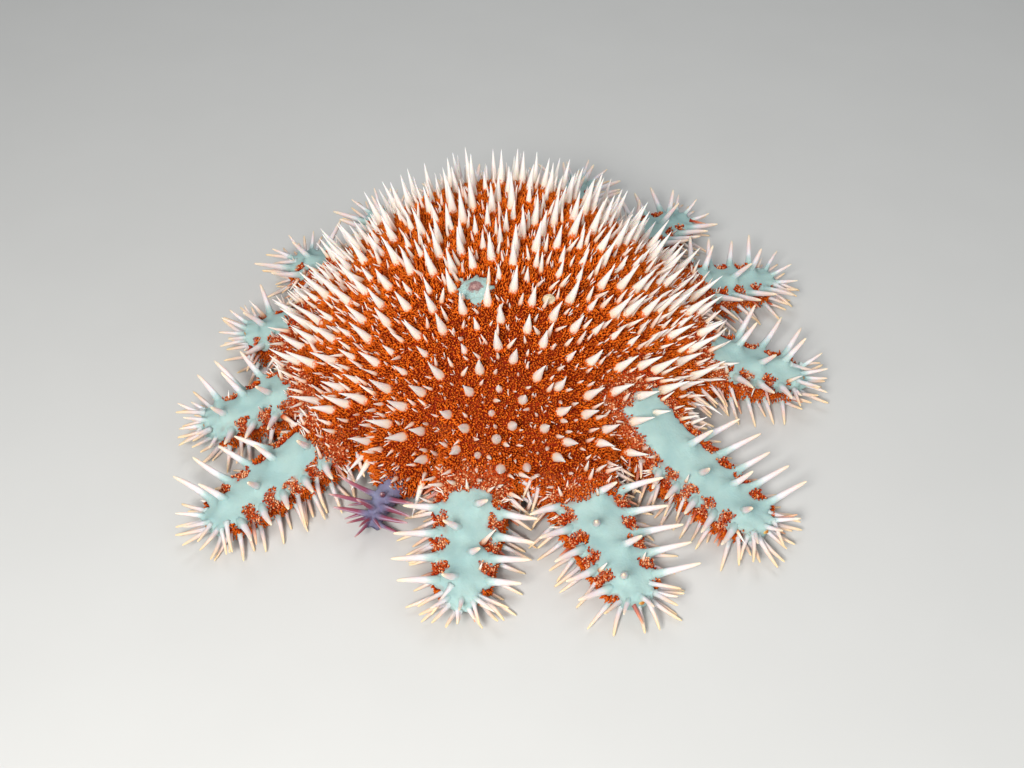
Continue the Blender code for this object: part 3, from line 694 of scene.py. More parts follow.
def spikes(root, axis, length, radius, rings, sides, sink=0.0, bow=0.0, seed=0, square=None):
    """Points of many tapered spikes at once, each with its rings and then its tip.

    Each starts the sink below its root, and stands its length above it. A ring is a circle square
    to the axis, at the ring's share of the whole length, as wide as its share of the radius. The
    middle is bowed aside by a sine of the share times bow times that length.
    Where square is given, the lowest rings are sheared along the axis into the skin's plane: each
    point moves by its offset's part along square, over the axis's part along it.
    """
    chance = np.random.default_rng(seed)
    root, length = root - axis * sink, length + sink
    helper = np.where(np.abs(axis[:, 2:]) < 0.9, (0.0, 0.0, 1.0), (1.0, 0.0, 0.0))
    east = unit(np.cross(helper, axis))
    north = np.cross(axis, east)
    turn = chance.uniform(0, math.tau, (len(root), 1, 1))
    aside = east * np.cos(turn[:, 0]) + north * np.sin(turn[:, 0])
    shares = np.array([share for share, _ in rings])
    widths = np.array([width for _, width in rings])
    bowed = bow * chance.uniform(-1, 1, len(root)) * length
    line = root[:, None] + axis[:, None] * (length[:, None] * shares)[..., None]
    line = line + aside[:, None] * (bowed[:, None] * np.sin(shares * math.pi))[..., None]
    angle = np.arange(sides) * math.tau / sides + turn
    circle = east[:, None, None] * np.cos(angle)[..., None] + north[:, None, None] * np.sin(angle)[..., None]
    if square is not None:
        facing = np.maximum((axis * square).sum(1), LEAST_FACING)
        slant = -(circle * square[:, None, None]).sum(-1) / facing[:, None, None]
        fade = np.clip(1.0 - shares / SHEARED_SHARE, 0.0, 1.0)[:, None]
        circle = circle + axis[:, None, None] * (slant * fade)[..., None]
    ringed = line[:, :, None] + circle * (radius[:, None] * widths)[:, :, None, None]
    tips = root + axis * length[:, None]
    return np.concatenate((ringed.reshape(len(root), -1, 3), tips[:, None]), 1)


def add_spikes(name, places, rings, corner_maps, material, slot, **values):
    """A piece from many spikes' points. corner_maps is each spike's origin and size on the unwrap.

    along, from 0 at the root to 1 at the tip, is kept with the values given for each spike.
    """
    count, each = places.shape[:2]
    sides = (each - 1) // len(rings)
    form, form_maps = spike_form(sides, len(rings))
    first = np.arange(count)[:, None, None] * each
    faces = [(part[None] + first).reshape(-1, part.shape[1]) for part in form]
    piece = add_piece(name, places.reshape(-1, 3), faces, material)
    along = np.append(np.repeat([share for share, _ in rings], sides), 1.0)
    add_values(piece, along=np.tile(along, count))
    add_values(piece, **{key: np.repeat(numbers, each) for key, numbers in values.items()})
    origin, size = corner_maps
    maps = [(origin[:, None] + part[None] * size).reshape(-1, 2) for part in form_maps]
    add_map(piece, np.concatenate(maps))
    return piece


CELL_MARGIN = 0.05  # left free on each side of a cell, as a share of it


def grid_cells(count):
    """A square cell of the unwrap for each big spine, and the cell's size."""
    wide = math.ceil(math.sqrt(count))
    number = np.arange(count)
    origin = np.stack((number % wide, number // wide), -1) / wide
    return origin + CELL_MARGIN / wide, (1.0 - 2.0 * CELL_MARGIN) / wide


# The velvet's colours: orange red, dark at the root as painted shade and paler at the tip as a
# painted highlight. The Shade value turns it to the dusky scale, for darker tone and painted shade.
velvet, way_in, way_out = new_group(
    "velvet", [("Along", "Float"), ("Shade", "Float")], [("Color", "Color")]
)
vivid = shades(velvet, way_in.outputs["Along"], [
    (0.0, (0.15, 0.010, 0.001)), (0.4, (0.62, 0.070, 0.002)),
    (0.75, (0.85, 0.155, 0.005)), (1.0, (0.92, 0.27, 0.03)),
])
dusky_and_shaded = shades(velvet, way_in.outputs["Along"], [
    (0.0, (0.07, 0.004, 0.001)), (0.45, (0.25, 0.020, 0.001)),
    (0.8, (0.46, 0.050, 0.003)), (1.0, (0.60, 0.13, 0.02)),
])
velvet.links.new(blend(velvet, way_in.outputs["Shade"], vivid, dusky_and_shaded), way_out.inputs["Color"])


def uneven(tree, along, size, amount):
    """How far along a spine, raised and lowered by cloudy noise, so that its bands end raggedly."""
    lumps = sums(tree, "MULTIPLY", sums(tree, "SUBTRACT", noise(tree, size), 0.35), amount)
    return sums(tree, "ADD", along, lumps)


disc_spine_finish, tree, shader = new_finish("white_spine", 0.40, 0.25)
along = value_of(tree, "along")
ragged = uneven(tree, along, 0.0009, 0.5)
creep = sums(tree, "SUBTRACT", ragged, sums(tree, "MULTIPLY", value_of(tree, "shade"), 0.16))
ivory = shades(tree, along, [
    (0.12, (0.90, 0.66, 0.42)), (0.30, (0.93, 0.84, 0.72)),
    (0.55, (0.94, 0.89, 0.84)), (1.0, (0.96, 0.94, 0.90)),
])
ivory = blend(tree, sums(tree, "MULTIPLY", noise(tree, 0.003), 0.2), ivory, (0.88, 0.77, 0.76))
sleeve = use_group(tree, velvet, {"Along": 0.72, "Shade": sums(tree, "MULTIPLY", noise(tree, 0.0015), 0.6)})
teal_satin = use_group(tree, satin, TEAL)
sleeve = blend(tree, value_of(tree, "teal"), sleeve["Color"], teal_satin["Color"])
mask = shades(tree, creep, [(0.10, (1, 1, 1)), (0.22, (0, 0, 0))])
chalky(tree, shader, blend(tree, mask, ivory, sleeve))

arm_spine_finish, tree, shader = new_finish("arm_spine", 0.40, 0.25)
along = value_of(tree, "along")
wavy = uneven(tree, along, 0.002, 0.2)
upper = shades(tree, wavy, [
    (0.22, (0.60, 0.73, 0.72)), (0.42, (0.80, 0.76, 0.78)),
    (0.72, (0.86, 0.71, 0.68)), (1.0, (0.92, 0.75, 0.56)),
])
lower = shades(tree, wavy, [
    (0.12, (0.50, 0.62, 0.61)), (0.36, (0.75, 0.71, 0.73)),
    (0.66, (0.86, 0.67, 0.57)), (1.0, (0.93, 0.69, 0.40)),
])
teal_satin = use_group(tree, satin, TEAL)
shaft = blend(tree, value_of(tree, "low"), upper, lower)
teal_mask = shades(tree, wavy, [(0.10, (1, 1, 1)), (0.38, (0, 0, 0))])
covered = sums(tree, "MULTIPLY", value_of(tree, "low"), 0.4)
teal_mask = sums(tree, "MULTIPLY", teal_mask, sums(tree, "SUBTRACT", 1.0, covered))
chalky(tree, shader, blend(tree, teal_mask, shaft, teal_satin["Color"]))

young_spine_finish, tree, shader = new_finish("young_spine", 0.45, 0.10)
along = value_of(tree, "along")
lavender_satin = use_group(tree, satin, LAVENDER)
shaft = shades(tree, uneven(tree, along, 0.002, 0.3), [
    (0.1, LAVENDER["Deep"]), (0.3, (0.24, 0.06, 0.11)), (0.8, (0.34, 0.10, 0.13)), (1.0, (0.60, 0.36, 0.34)),
])
keel = shades(tree, value_of(tree, "keel"), [(0.45, (0, 0, 0)), (0.75, (0.8, 0.8, 0.8))])
shaft = blend(tree, keel, shaft, (0.46, 0.36, 0.48))
mask = shades(tree, along, [(0.08, (1, 1, 1)), (0.35, (0, 0, 0))])
chalky(tree, shader, blend(tree, mask, shaft, lavender_satin["Color"]))

# Rings of a big spine: share of the way from the skin to its tip, and of its radius in the solids.
DISC_RINGS = [(0.0, 1.15), (0.10, 1.06), (0.22, 0.95), (0.40, 0.74), (0.60, 0.50), (0.82, 0.25), (0.95, 0.10)]
ARM_RINGS = [
    (0.0, 1.16), (0.07, 1.05), (0.15, 0.92), (0.27, 0.79),
    (0.44, 0.69), (0.66, 0.57), (0.86, 0.42), (0.97, 0.22),
]
YOUNG_GIRTH = 1.25  # the young arm's spines are so much thicker than the solids'
chance = np.random.default_rng(3)
foot_teal = teal[skin_faces[spine_face]].mean(1)
for name, chosen, rings, finish, slot in (
    ("disc_spines", ~on_arm, DISC_RINGS, disc_spine_finish, "papulae_skin"),
    ("arm_spines", on_arm & ~young, ARM_RINGS, arm_spine_finish, "arm_skin"),
    ("young_arm_spines", young, ARM_RINGS, young_spine_finish, "lavender_skin"),
):
    axis, radius = spine_axis[chosen], spine_radius[chosen] * np.where(young[chosen], YOUNG_GIRTH, 1.0)
    skirt = rings[0][1] * radius
    seat = web_height[chosen] * np.clip(1.0 - skirt / web_spread[chosen], 0.0, 1.0) ** 2 - ROOT_SINK
    places = spikes(
        sunk_foot[chosen] + axis * seat[:, None], axis, spine_length[chosen] + spine_depth[chosen] - seat,
        radius, rings, SPINE_SIDES, bow=0.03, seed=4, square=spine_square[chosen],
    )
    piece = add_spikes(
        name, places, rings, grid_cells(len(radius)), finish, slot,
        shade=chance.random(len(radius)), low=hangs[chosen], teal=foot_teal[chosen],
    )

# Two pale keels run up each spine of the young arm, the last piece made above.
keel = np.append(np.tile(np.arange(SPINE_SIDES) % (SPINE_SIDES // 2) == 0, len(ARM_RINGS)), True)
add_values(piece, keel=np.tile(keel, young.sum()))

# The small spines
# Smaller crystals of chalk, white or rosy, stand between the big ones. Thin cream ones hang in a
# fringe from the arms' flanks and fan out round their tips. All grow from the same plates.

corner_places = skin_places[skin_faces]
face_square = np.cross(corner_places[:, 1] - corner_places[:, 0], corner_places[:, 2] - corner_places[:, 0])
face_area = np.linalg.norm(face_square, axis=1) / 2
PATCH = 0.003  # size on the unwrap of what grows from one root
CUBES = 8192  # more cubes than lie side by side along any axis
TILT, TILT_REACH, TILT_POWER = math.radians(52.0), 0.082, 1.3  # of the disc's spines, as in the solids


def scatter(spacing, weight, seed):
    """Roots spread over the skin, one to each cube of side spacing that it passes through.

    Points are drawn evenly by area times the weight of their face, four to a square of that side,
    and of those in one cube only the first drawn is kept. Returns the roots' places, the skin's
    normals there, and the faces and shares of their corners that they stand at.
    """
    chance = np.random.default_rng(seed)
    share = face_area * np.clip(weight[skin_faces].mean(1), 0.0, 1.0)
    count = int(4 * share.sum() / spacing**2)
    level = (np.arange(count) + chance.random(count)) / count * share.sum()
    face = np.minimum(np.searchsorted(np.cumsum(share), level), len(share) - 1)
    first, second = chance.random((2, count))
    folded = first + second > 1.0
    first, second = np.where(folded, 1.0 - first, first), np.where(folded, 1.0 - second, second)
    shares = np.stack((1.0 - first - second, first, second), -1)
    place = (corner_places[face] * shares[..., None]).sum(1)
    order = chance.permutation(count)
    cube = np.floor(place[order] / spacing).astype(np.int64) + CUBES // 2
    number = (cube[:, 0] * CUBES + cube[:, 1]) * CUBES + cube[:, 2]
    _, drawn = np.unique(number, return_index=True)
    kept = order[drawn]
    face, shares = face[kept], shares[kept]
    normal = unit((skin_normals[skin_faces[face]] * shares[..., None]).sum(1))
    return place[kept], normal, face, shares


def spaced(gap, weight, others, seed):
    """Scattered roots that also keep this gap from each other and from the others, as scatter's."""
    place, normal, face, shares = scatter(gap, weight, seed)
    taken = KDTree(len(place))
    for i, root in enumerate(place):
        taken.insert(root, i)
    taken.balance()
    kept = nearest(place, others) >= gap
    for i in range(len(place)):
        if kept[i]:
            for _, other, _ in taken.find_range(place[i], gap):
                kept[other] = kept[other] and other <= i
    return place[kept], normal[kept], face[kept], shares[kept]


def read_at(numbers, face, shares):
    """A number kept for each skin point, read at roots within the skin's faces."""
    return (numbers[skin_faces[face]] * shares).sum(1)


def patches(face, shares, wedges=None):
    """Each root's patch on the unwrap, and its size. With wedges, those strips fill the whole map."""
    place = (skin_unwrap[face] * shares[..., None]).sum(1)
    if wedges is not None:
        place = np.stack(((place[:, 0] * len(ARMS) - wedges[0]) / len(wedges), place[:, 1] * 2 - 1), -1)
        place = np.clip(place, 0.0, 1.0 - PATCH)
    return place, PATCH


def standing(place, normal):
    """The way that the disc's spines point: upright in the middle, tilted outwards further out.

    The tilt grows as a power of the distance. Past the disc it turns to the skin's own normal.
    """
    level = (place - centre) * (1.0, 1.0, 0.0)
    distance = np.linalg.norm(level, axis=1, keepdims=True)
    tilt = TILT * np.clip(distance / TILT_REACH, 0.0, 1.0) ** TILT_POWER
    upright = unit(level) * np.sin(tilt) + np.array((0.0, 0.0, 1.0)) * np.cos(tilt)
    past = ease(TILT_REACH, SEAM_RADIUS, distance)
    return unit(upright * (1.0 - past) + normal * past)


open_flesh = flesh * ease(0.0020, 0.0032, from_disc) * (1.0 - ease(0.0, 0.5, flank)) * skin_top
SMALL_RINGS = [(0.0, 1.3), (0.2, 1.0), (0.6, 0.62), (0.9, 0.22)]

small_white, tree, shader = new_finish("small_spine", 0.40, 0.10)
along = value_of(tree, "along")
chalk = shades(tree, along, [
    (0.06, (0.66, 0.12, 0.02)), (0.22, (0.90, 0.66, 0.44)),
    (0.45, (0.94, 0.86, 0.78)), (1.0, (0.96, 0.93, 0.88)),
])
rosy = shades(tree, along, [
    (0.06, (0.45, 0.05, 0.02)), (0.30, (0.80, 0.40, 0.28)),
    (0.65, (0.90, 0.64, 0.54)), (1.0, (0.93, 0.80, 0.72)),
])
chalky(tree, shader, blend(tree, value_of(tree, "shade"), chalk, rosy), 0.00005)

# Most are short and few are long. A radius is a sixteenth of the length and a little more.
place, normal, face, shares = spaced(gap=0.0036, weight=open_flesh, others=spine_foot[~on_arm], seed=11)
chance = np.random.default_rng(12)
count = len(place)
axis = unit(standing(place, normal) + 0.25 * normal + chance.normal(0, 0.19, (count, 3)))
length = 0.0032 + 0.0072 * chance.random(count) ** 1.3
radius = 0.00026 + 0.064 * length * chance.uniform(0.8, 1.2, count)
places = spikes(place, axis, length, radius, SMALL_RINGS, sides=6, sink=0.0005, bow=0.03, seed=13)
add_spikes(
    "small_disc_spines", places, SMALL_RINGS, patches(face, shares), small_white, "papulae_skin",
    shade=0.6 * chance.random(count) ** 2,
)

flank_cream, tree, shader = new_finish("flank_spine", 0.40, 0.10)
along = uneven(tree, value_of(tree, "along"), 0.002, 0.2)
cream = shades(tree, along, [
    (0.05, (0.48, 0.58, 0.57)), (0.28, (0.72, 0.66, 0.68)),
    (0.60, (0.85, 0.65, 0.54)), (1.0, (0.93, 0.69, 0.40)),
])
red = shades(tree, along, [
    (0.05, (0.26, 0.02, 0.01)), (0.5, (0.58, 0.12, 0.05)), (1.0, (0.80, 0.40, 0.26)),
])
chalky(tree, shader, blend(tree, value_of(tree, "shade"), cream, red), 0.00005)

HANG_RINGS = [(0.0, 1.9), (0.08, 1.25), (0.22, 1.0), (0.55, 0.84), (0.85, 0.60), (0.96, 0.38)]
HANG_SINK = 0.0006  # how far their roots lie under the skin
FRINGE_CLEARANCE = 0.0008  # least height of a hanging spine's tip above the floor
BOX_CLEARANCE = 0.0012  # and how far it keeps within the solids' box
box_low, box_high = np.array(cad_box[0]), np.array(cad_box[1])
from_end = reach[skin_arm] - skin_distance
# One band under the arms' sides, and one round their ends.
rim = ease(0.079, 0.083, skin_distance) * ease(0.0035, 0.0050, from_end) * (loft[skin_arm] == 1.0)
rim = rim * np.where(skin_top, ease(0.93, 0.97, across), ease(0.74, 0.80, across))
ends = ease(0.0052, 0.0040, from_end) * (skin_distance > SEAM_RADIUS) * (loft[skin_arm] == 1.0)
ends = ends * np.where(skin_top, ease(0.30, 0.45, across), ease(0.60, 0.70, across))
for name, weight, gap, shortest, longest, drop, rise, share_red, seed in (
    ("flank_spines", rim, 0.0037, 0.0080, 0.0128, -0.75, -0.25, 0.3, 14),
    ("tip_spines", ends, 0.0027, 0.0085, 0.0130, -0.55, 0.45, 0.1, 17),
):
    place, normal, face, shares = spaced(gap, weight, spine_foot[on_arm], seed)
    chance = np.random.default_rng(seed + 1)
    count = len(place)
    # They point out of the skin and a little away from the disc, and hang or rise by a slope.
    level = unit(normal * (1.0, 1.0, 0.0))
    away = unit((place - centre) * (1.0, 1.0, 0.0))
    slope = chance.uniform(drop, rise, (count, 1)) * np.array((0.0, 0.0, 1.0))
    axis = unit(level + 0.35 * away + slope + chance.normal(0, 0.10, (count, 3)))
    red_share = ease(1.0 - 1.6 * share_red, 1.0 - 0.4 * share_red, chance.random(count))
    length = chance.uniform(shortest, longest, count) * (1.0 - 0.5 * red_share)
    lowest = -(place[:, 2] - FRINGE_CLEARANCE) / length
    axis[:, 2] = np.maximum(axis[:, 2], lowest)
    axis = unit(axis)
    radius = 0.00036 + 0.042 * length
    root = place - axis * HANG_SINK
    root[:, 2] = np.maximum(root[:, 2], 2.2 * radius)
    room = (np.where(axis > 0, box_high, -box_low) - np.sign(axis) * root) / np.maximum(np.abs(axis), 1e-6)
    length = np.minimum(length, room[:, :2].min(1) - BOX_CLEARANCE)
    places = spikes(root, axis, length + HANG_SINK, radius, HANG_RINGS, sides=6, bow=0.04, seed=seed + 2)
    add_spikes(name, places, HANG_RINGS, patches(face, shares), flank_cream, "arm_skin", shade=red_share)

# The feelers
# The last tube foot of each arm is a short blunt feeler, which can't hold on. It stands out of a
# yellow socket at the arm's very tip, among the spines.

FEELER_RINGS = [(0.0, 1.1), (0.45, 1.0), (0.75, 0.78), (0.92, 0.45)]
FEELER_RADIUS, FEELER_LENGTH, FEELER_SINK = 0.0014, 0.0022, 0.0008
FEELER_PLACE, FEELER_BEHIND = 0.0010, 0.0060  # back from the arm's end, its root and a point behind it
feeler_finish, tree, shader = new_finish("feeler", 0.5, 0.2)
amber = shades(tree, value_of(tree, "along"), [
    (0.3, (0.80, 0.48, 0.10)), (0.7, (0.86, 0.62, 0.22)), (0.95, (0.45, 0.16, 0.03)),
])
finish_with(tree, shader, amber, noise(tree, 0.0004), 0.00004)
ended = np.flatnonzero(loft == 1.0)
behind = body_point(ended, reach[ended] - FEELER_BEHIND, 0.0, True)
place = body_point(ended, reach[ended] - FEELER_PLACE, 0.0, True)
axis = unit(unit((place - behind) * (1.0, 1.0, 0.0)) + (0.0, 0.0, 0.35))
length, radius = np.full(len(ended), FEELER_LENGTH), np.full(len(ended), FEELER_RADIUS)
places = spikes(place, axis, length, radius, FEELER_RINGS, sides=8, sink=FEELER_SINK)
corner = unwrap_at(ended, reach[ended] - FEELER_PLACE, 0.0, np.full(len(ended), True))
add_spikes("feelers", places, FEELER_RINGS, (corner, PATCH), feeler_finish, "arm_skin")

# The pincers
# Between the spines stand hundreds of pedicellariae, little two-jawed pincers of chalk in a thin
# skin, that keep the back clean. Each is a pair of slim jaws on one root, open like a V.

JAW_RINGS = [(0.0, 1.1), (0.3, 0.9), (0.8, 0.6)]
JAW_APART = 0.00020  # from the root's middle to each jaw's
weight = open_flesh * (1.0 - 0.6 * grain)
place, normal, face, shares = spaced(gap=0.0043, weight=weight, others=spine_foot[~on_arm], seed=21)
chance = np.random.default_rng(22)
count = len(place)
# A jaw's radius is a 25th of its length and a little more.
stem = unit(standing(place, normal) + 0.2 * normal + chance.normal(0, 0.24, (count, 3)))
beside = unit(np.cross(stem, chance.normal(size=(count, 3))))
opened = chance.uniform(0.06, 0.30, (count, 1))
tall = chance.uniform(0.0030, 0.0045, count)
root = np.concatenate((place + beside * JAW_APART, place - beside * JAW_APART))
axis = unit(np.concatenate((stem + beside * opened, stem - beside * opened)))
length = np.tile(tall, 2)
radius = 0.00013 + 0.040 * length
jaws = spikes(root, axis, length, radius, JAW_RINGS, sides=5, sink=0.0003, bow=0.05, seed=23)
doubled = patches(np.tile(face, 2), np.tile(shares, (2, 1)))
add_spikes(
    "pincers", jaws, JAW_RINGS, doubled, small_white, "papulae_skin",
    shade=np.tile(0.8 * chance.random(count) ** 2, 2),
)

# The velvet
# The papulae are soft blind fingers of skin, about half a millimetre thick, through which the
# animal breathes. They crowd the disc in an orange-red pile and gather in beads by the arms' teal.

FINGER_RINGS = [(0.0, 0.9), (0.5, 1.05), (0.86, 0.80)]
BEAD_RINGS = [(0.0, 0.7), (0.45, 1.0), (0.85, 0.78)]  # blunter and rounder
FINGER_SINK = 0.0003  # how far their roots lie under the skin
wedge_pairs = [(arm, arm + 1) for arm in range(0, len(ARMS), 2)]

papulae_finish, tree, shader = new_finish("papulae", 0.85)
inputs = {"Along": value_of(tree, "along"), "Shade": value_of(tree, "shade")}
finish_with(tree, shader, use_group(tree, velvet, inputs)["Color"], noise(tree, 0.0004), 0.00003)

bead_finish, tree, shader = new_finish("papulae_beads", 0.6)
# Each bead's root is painted dark as shade in the gaps between beads; the few picked by their shade end in a
# painted cream highlight.
ruddy = shades(tree, value_of(tree, "along"), [
    (0.0, (0.09, 0.004, 0.001)), (0.5, (0.32, 0.020, 0.002)),
    (0.85, (0.52, 0.050, 0.004)), (1.0, (0.66, 0.11, 0.015)),
])
highlit_bead = shades(tree, value_of(tree, "along"), [
    (0.0, (0.20, 0.012, 0.002)), (0.5, (0.70, 0.130, 0.020)), (1.0, (0.92, 0.60, 0.34)),
])
few = shades(tree, value_of(tree, "shade"), [(0.60, (0, 0, 0)), (0.85, (1, 1, 1))])
finish_with(tree, shader, blend(tree, few, ruddy, highlit_bead), noise(tree, 0.0004), 0.00003)

clear = ease(0.0012, 0.0016, np.minimum(from_disc, from_lower)) * ease(0.0014, 0.0020, from_upper)
clumps = ripple(skin_places, 0.0045, 31)
tufts = ripple(skin_places, 0.0019, 32)
# Painted shade: the pile is darker in the hollows away from the spines.
hollow = ease(0.0022, 0.0046, from_disc)  # away from the spines the pile is shorter and darker
small_plate = np.linalg.norm(skin_places - plate_centre("sieve_plate_small"), axis=1)
coat = ease(0.4, 0.6, flesh) * clear * ease(0.0021, 0.0027, small_plate)
beaded = np.maximum(ease(0.3, 0.7, grain) * (1.0 - flank), ease(0.0, 0.2, clustered))

for kind, weight, spacing, long, wide, rings, finish, scatter_of_shade, seed in (
    ("pile", coat * (1.0 - beaded), 0.00078, 0.0020, 0.00032, FINGER_RINGS, papulae_finish, 0.14, 33),
    ("beads", coat * beaded, 0.00084, 0.0011, 0.00044, BEAD_RINGS, bead_finish, 0.38, 36),
):
    place, normal, face, shares = scatter(spacing, weight, seed)
    chance = np.random.default_rng(seed + 1)
    count = len(place)
    clump = read_at(clumps, face, shares)
    tuft = read_at(tufts, face, shares)
    domed = read_at(clustered, face, shares)
    sunken = read_at(hollow, face, shares)
    beside = read_at(flank, face, shares)
    # On the domes of the clusters they stand straight and long, and elsewhere they stray and lean.
    stray = (0.24 - 0.18 * domed[:, None]) * chance.normal(size=(count, 3))
    axis = unit(normal + 0.35 * (1.0 - domed[:, None]) * standing(place, normal) + stray)
    length = long * (1.1 + 0.20 * clump + 0.22 * tuft - 0.2 * sunken - 0.25 * beside + 0.5 * domed)
    length = length * chance.uniform(0.75, 1.2, count)
    radius = wide * chance.uniform(0.8, 1.2, count)
    # On the pile the shade, from bright to dark, is painted shade in the lows between clumps and tufts
    # and in the hollows away from a spine, with random tone over it. On the beads the same number picks
    # the few with a painted highlight.
    shade = 0.10 - 0.34 * clump - 0.34 * tuft + 0.46 * sunken
    shade = np.clip(shade + scatter_of_shade * chance.normal(size=count), 0.0, 1.0)
    root = place - axis * FINGER_SINK
    root[:, 2] = np.maximum(root[:, 2], radius + BARE_DEPTH)
    places = spikes(root, axis, length + FINGER_SINK, radius, rings, sides=3, bow=0.12, seed=seed + 2)
    places[..., 2] = np.maximum(places[..., 2], BARE_DEPTH)
    wedge = raw_arm[raw_faces[face, 1]]
    for pair in wedge_pairs:
        mine = (wedge == pair[0]) | (wedge == pair[1])
        add_spikes(
            f"papulae_{kind}_{pair[0] + 1:02d}_{pair[1] + 1:02d}", places[mine], rings,
            patches(face[mine], shares[mine], pair), finish, "papulae_skin", shade=shade[mine],
        )

# The sieve plates
# Two madreporites let sea water into the animal's pipes. The large one is a low dome, grooved
# like a maze, in a patch of bare teal skin. The small one is a cream dome, faintly grooved.

PLATE_ROWS, PLATE_COLUMNS = 26, 96
RIM_DROP, PLATE_UNDER = 0.0012, 0.0020  # how far the rim and the piece's underside lie below its foot
RAY_HEIGHT = 0.01  # where the search for a plate's foot starts, above the plate


def add_turned(name, grid, material):
    """A closed piece from a grid of rings, whose first and last rows each lie at one point."""
    rows, columns = grid.shape[:2]
    k = np.arange(columns)
    after = (k + 1) % columns
    first = 1 + np.arange(rows - 3)[:, None] * columns
    above = first + columns
    walls = np.stack(np.broadcast_arrays(first + k, above + k, above + after, first + after), -1)
    start = np.stack((np.zeros(columns, int), 1 + k, 1 + after), -1)
    last = 1 + (rows - 3) * columns
    end = np.stack((last + after, last + k, np.full(columns, last + columns)), -1)
    places = np.concatenate((grid[:1, 0], grid[1:-1].reshape(-1, 3), grid[-1:, 0]))
    return add_piece(name, places, [walls.reshape(-1, 4), start, end], material)


def add_turned_values(piece, **values):
    """Numbers kept for a turned piece's points, from grids like the one it was made from."""
    for name, grid in values.items():
        add_values(piece, **{name: np.concatenate((grid[0, :1], grid[1:-1].ravel(), grid[-1, :1]))})


def sieve_plate(name, radius, rise, furrow, waves, swell, finish):
    """A domed plate square to the skin under the solids' plate, with its rim run down into it.

    Its height is the rise times one less the square of the share of the radius, less a furrow: the
    square of a sine of the angle times a number, bent by two slower sines, faded out at the middle
    and the rim. The radius itself swells and shrinks by slow sines of the angle.
    """
    middle = plate_centre(name)
    _, square, _, _ = plain_skin.find_nearest(Vector(middle))
    foot = np.array(plain_skin.ray_cast(Vector(middle) + square * RAY_HEIGHT, -square)[0])
    square = np.array(square)
    east = unit(np.cross((0.0, 1.0, 0.0), square))
    north = np.cross(square, east)
    share = np.linspace(0.0, 1.0, PLATE_ROWS)[:, None]
    angle = np.linspace(0.0, math.tau, PLATE_COLUMNS, endpoint=False)[None]
    bend = 1.2 * np.sin(angle * 3 + 9.0 * share) + 0.8 * np.sin(angle * 7 - 12.0 * share)
    cut = np.sin(angle * waves / 2 + bend) ** 2 * ease(0.05, 0.35, share) * ease(1.0, 0.8, share)
    out = radius * share * (1.0 + swell * (np.sin(angle * 2 + 1.0) + 0.6 * np.sin(angle * 5)) * share**2)
    height = rise * (1.0 - share**2) - furrow * cut - RIM_DROP * ease(0.9, 1.0, share)
    height = np.broadcast_to(height, cut.shape)
    grid = foot + square * height[..., None] + east * (out * np.cos(angle))[..., None]
    grid = grid + north * (out * np.sin(angle))[..., None]
    under = np.broadcast_to(foot - square * PLATE_UNDER, (1, PLATE_COLUMNS, 3))
    piece = add_turned(name + "_dome", np.concatenate((grid, under)), finish)
    add_turned_values(
        piece,
        out=np.broadcast_to(np.append(share, 1.0)[:, None], (PLATE_ROWS + 1, PLATE_COLUMNS)),
        cut=np.concatenate((cut, cut[-1:])),
    )
    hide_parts(name)


sieve_finish, tree, shader = new_finish("sieve_plate", 0.5, 0.08)
teal_satin = use_group(tree, satin, TEAL)
grit = shades(tree, noise(tree, 0.0006, 4.0), [(0.35, (0.28, 0.14, 0.14)), (0.65, (0.56, 0.36, 0.32))])
# Painted shade: the furrows of the maze are darkened.
grooved = blend(tree, value_of(tree, "cut"), grit, (0.15, 0.07, 0.08))
wobbly = uneven(tree, value_of(tree, "out"), 0.002, 0.7)
rim_mask = shades(tree, wobbly, [(0.52, (0, 0, 0)), (0.66, (1, 1, 1))])
finish_with(tree, shader, blend(tree, rim_mask, grooved, teal_satin["Color"]), noise(tree, 0.0005), 0.0001)
sieve_plate(
    "sieve_plate_large", radius=0.0052, rise=0.0017, furrow=0.0004, waves=34, swell=0.12, finish=sieve_finish,
)

cream_finish, tree, shader = new_finish("cream_plate", 0.5, 0.10)
cream = blend(tree, noise(tree, 0.0012, 3.0), (0.78, 0.70, 0.48), (0.58, 0.44, 0.30))
finish_with(tree, shader, cream, noise(tree, 0.0005), 0.00008)
sieve_plate(
    "sieve_plate_small", radius=0.0023, rise=0.0015, furrow=0.0002, waves=18, swell=0.08, finish=cream_finish,
)

# The mouth
# The mouth is a soft ring of skin in the middle of the underside, drawn in radial folds towards a
# small round opening. Here it is closed off a few millimetres up, as in a resting animal.

FOLDS, FOLD_DEPTH, FUNNEL_DEPTH, LIP_DROP = 15, 0.0004, 0.0036, 0.0008
MOUTH_INSET = 0.001  # from the underside of the solids' mouth up to the membrane
MOUTH_ROWS, MOUTH_COLUMNS = 28, 120
low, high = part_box("mouth")
arch_top = low.z + MOUTH_INSET
share = np.linspace(0.0, 1.0, MOUTH_ROWS)[:, None]
angle = np.linspace(0.0, math.tau, MOUTH_COLUMNS, endpoint=False)[None]
folded = np.cos(angle * FOLDS + 0.8 * np.sin(angle * 4)) * ease(0.12, 0.40, share) * ease(1.0, 0.75, share)
funnel = FUNNEL_DEPTH * ease(0.36, 0.12, share) - LIP_DROP * ease(0.0, 0.6, share) * ease(1.0, 0.7, share)
level = arch_top + funnel + FOLD_DEPTH * folded
radius = (high.x - low.x) / 2 * share
membrane = np.stack((radius * np.cos(angle), radius * np.sin(angle), level), -1) + centre
roof = np.stack((radius[-1:] * np.cos(angle), radius[-1:] * np.sin(angle), np.full_like(angle, high.z)), -1)
roof = np.concatenate((roof + centre, np.broadcast_to(centre + (0.0, 0.0, high.z), roof.shape)))
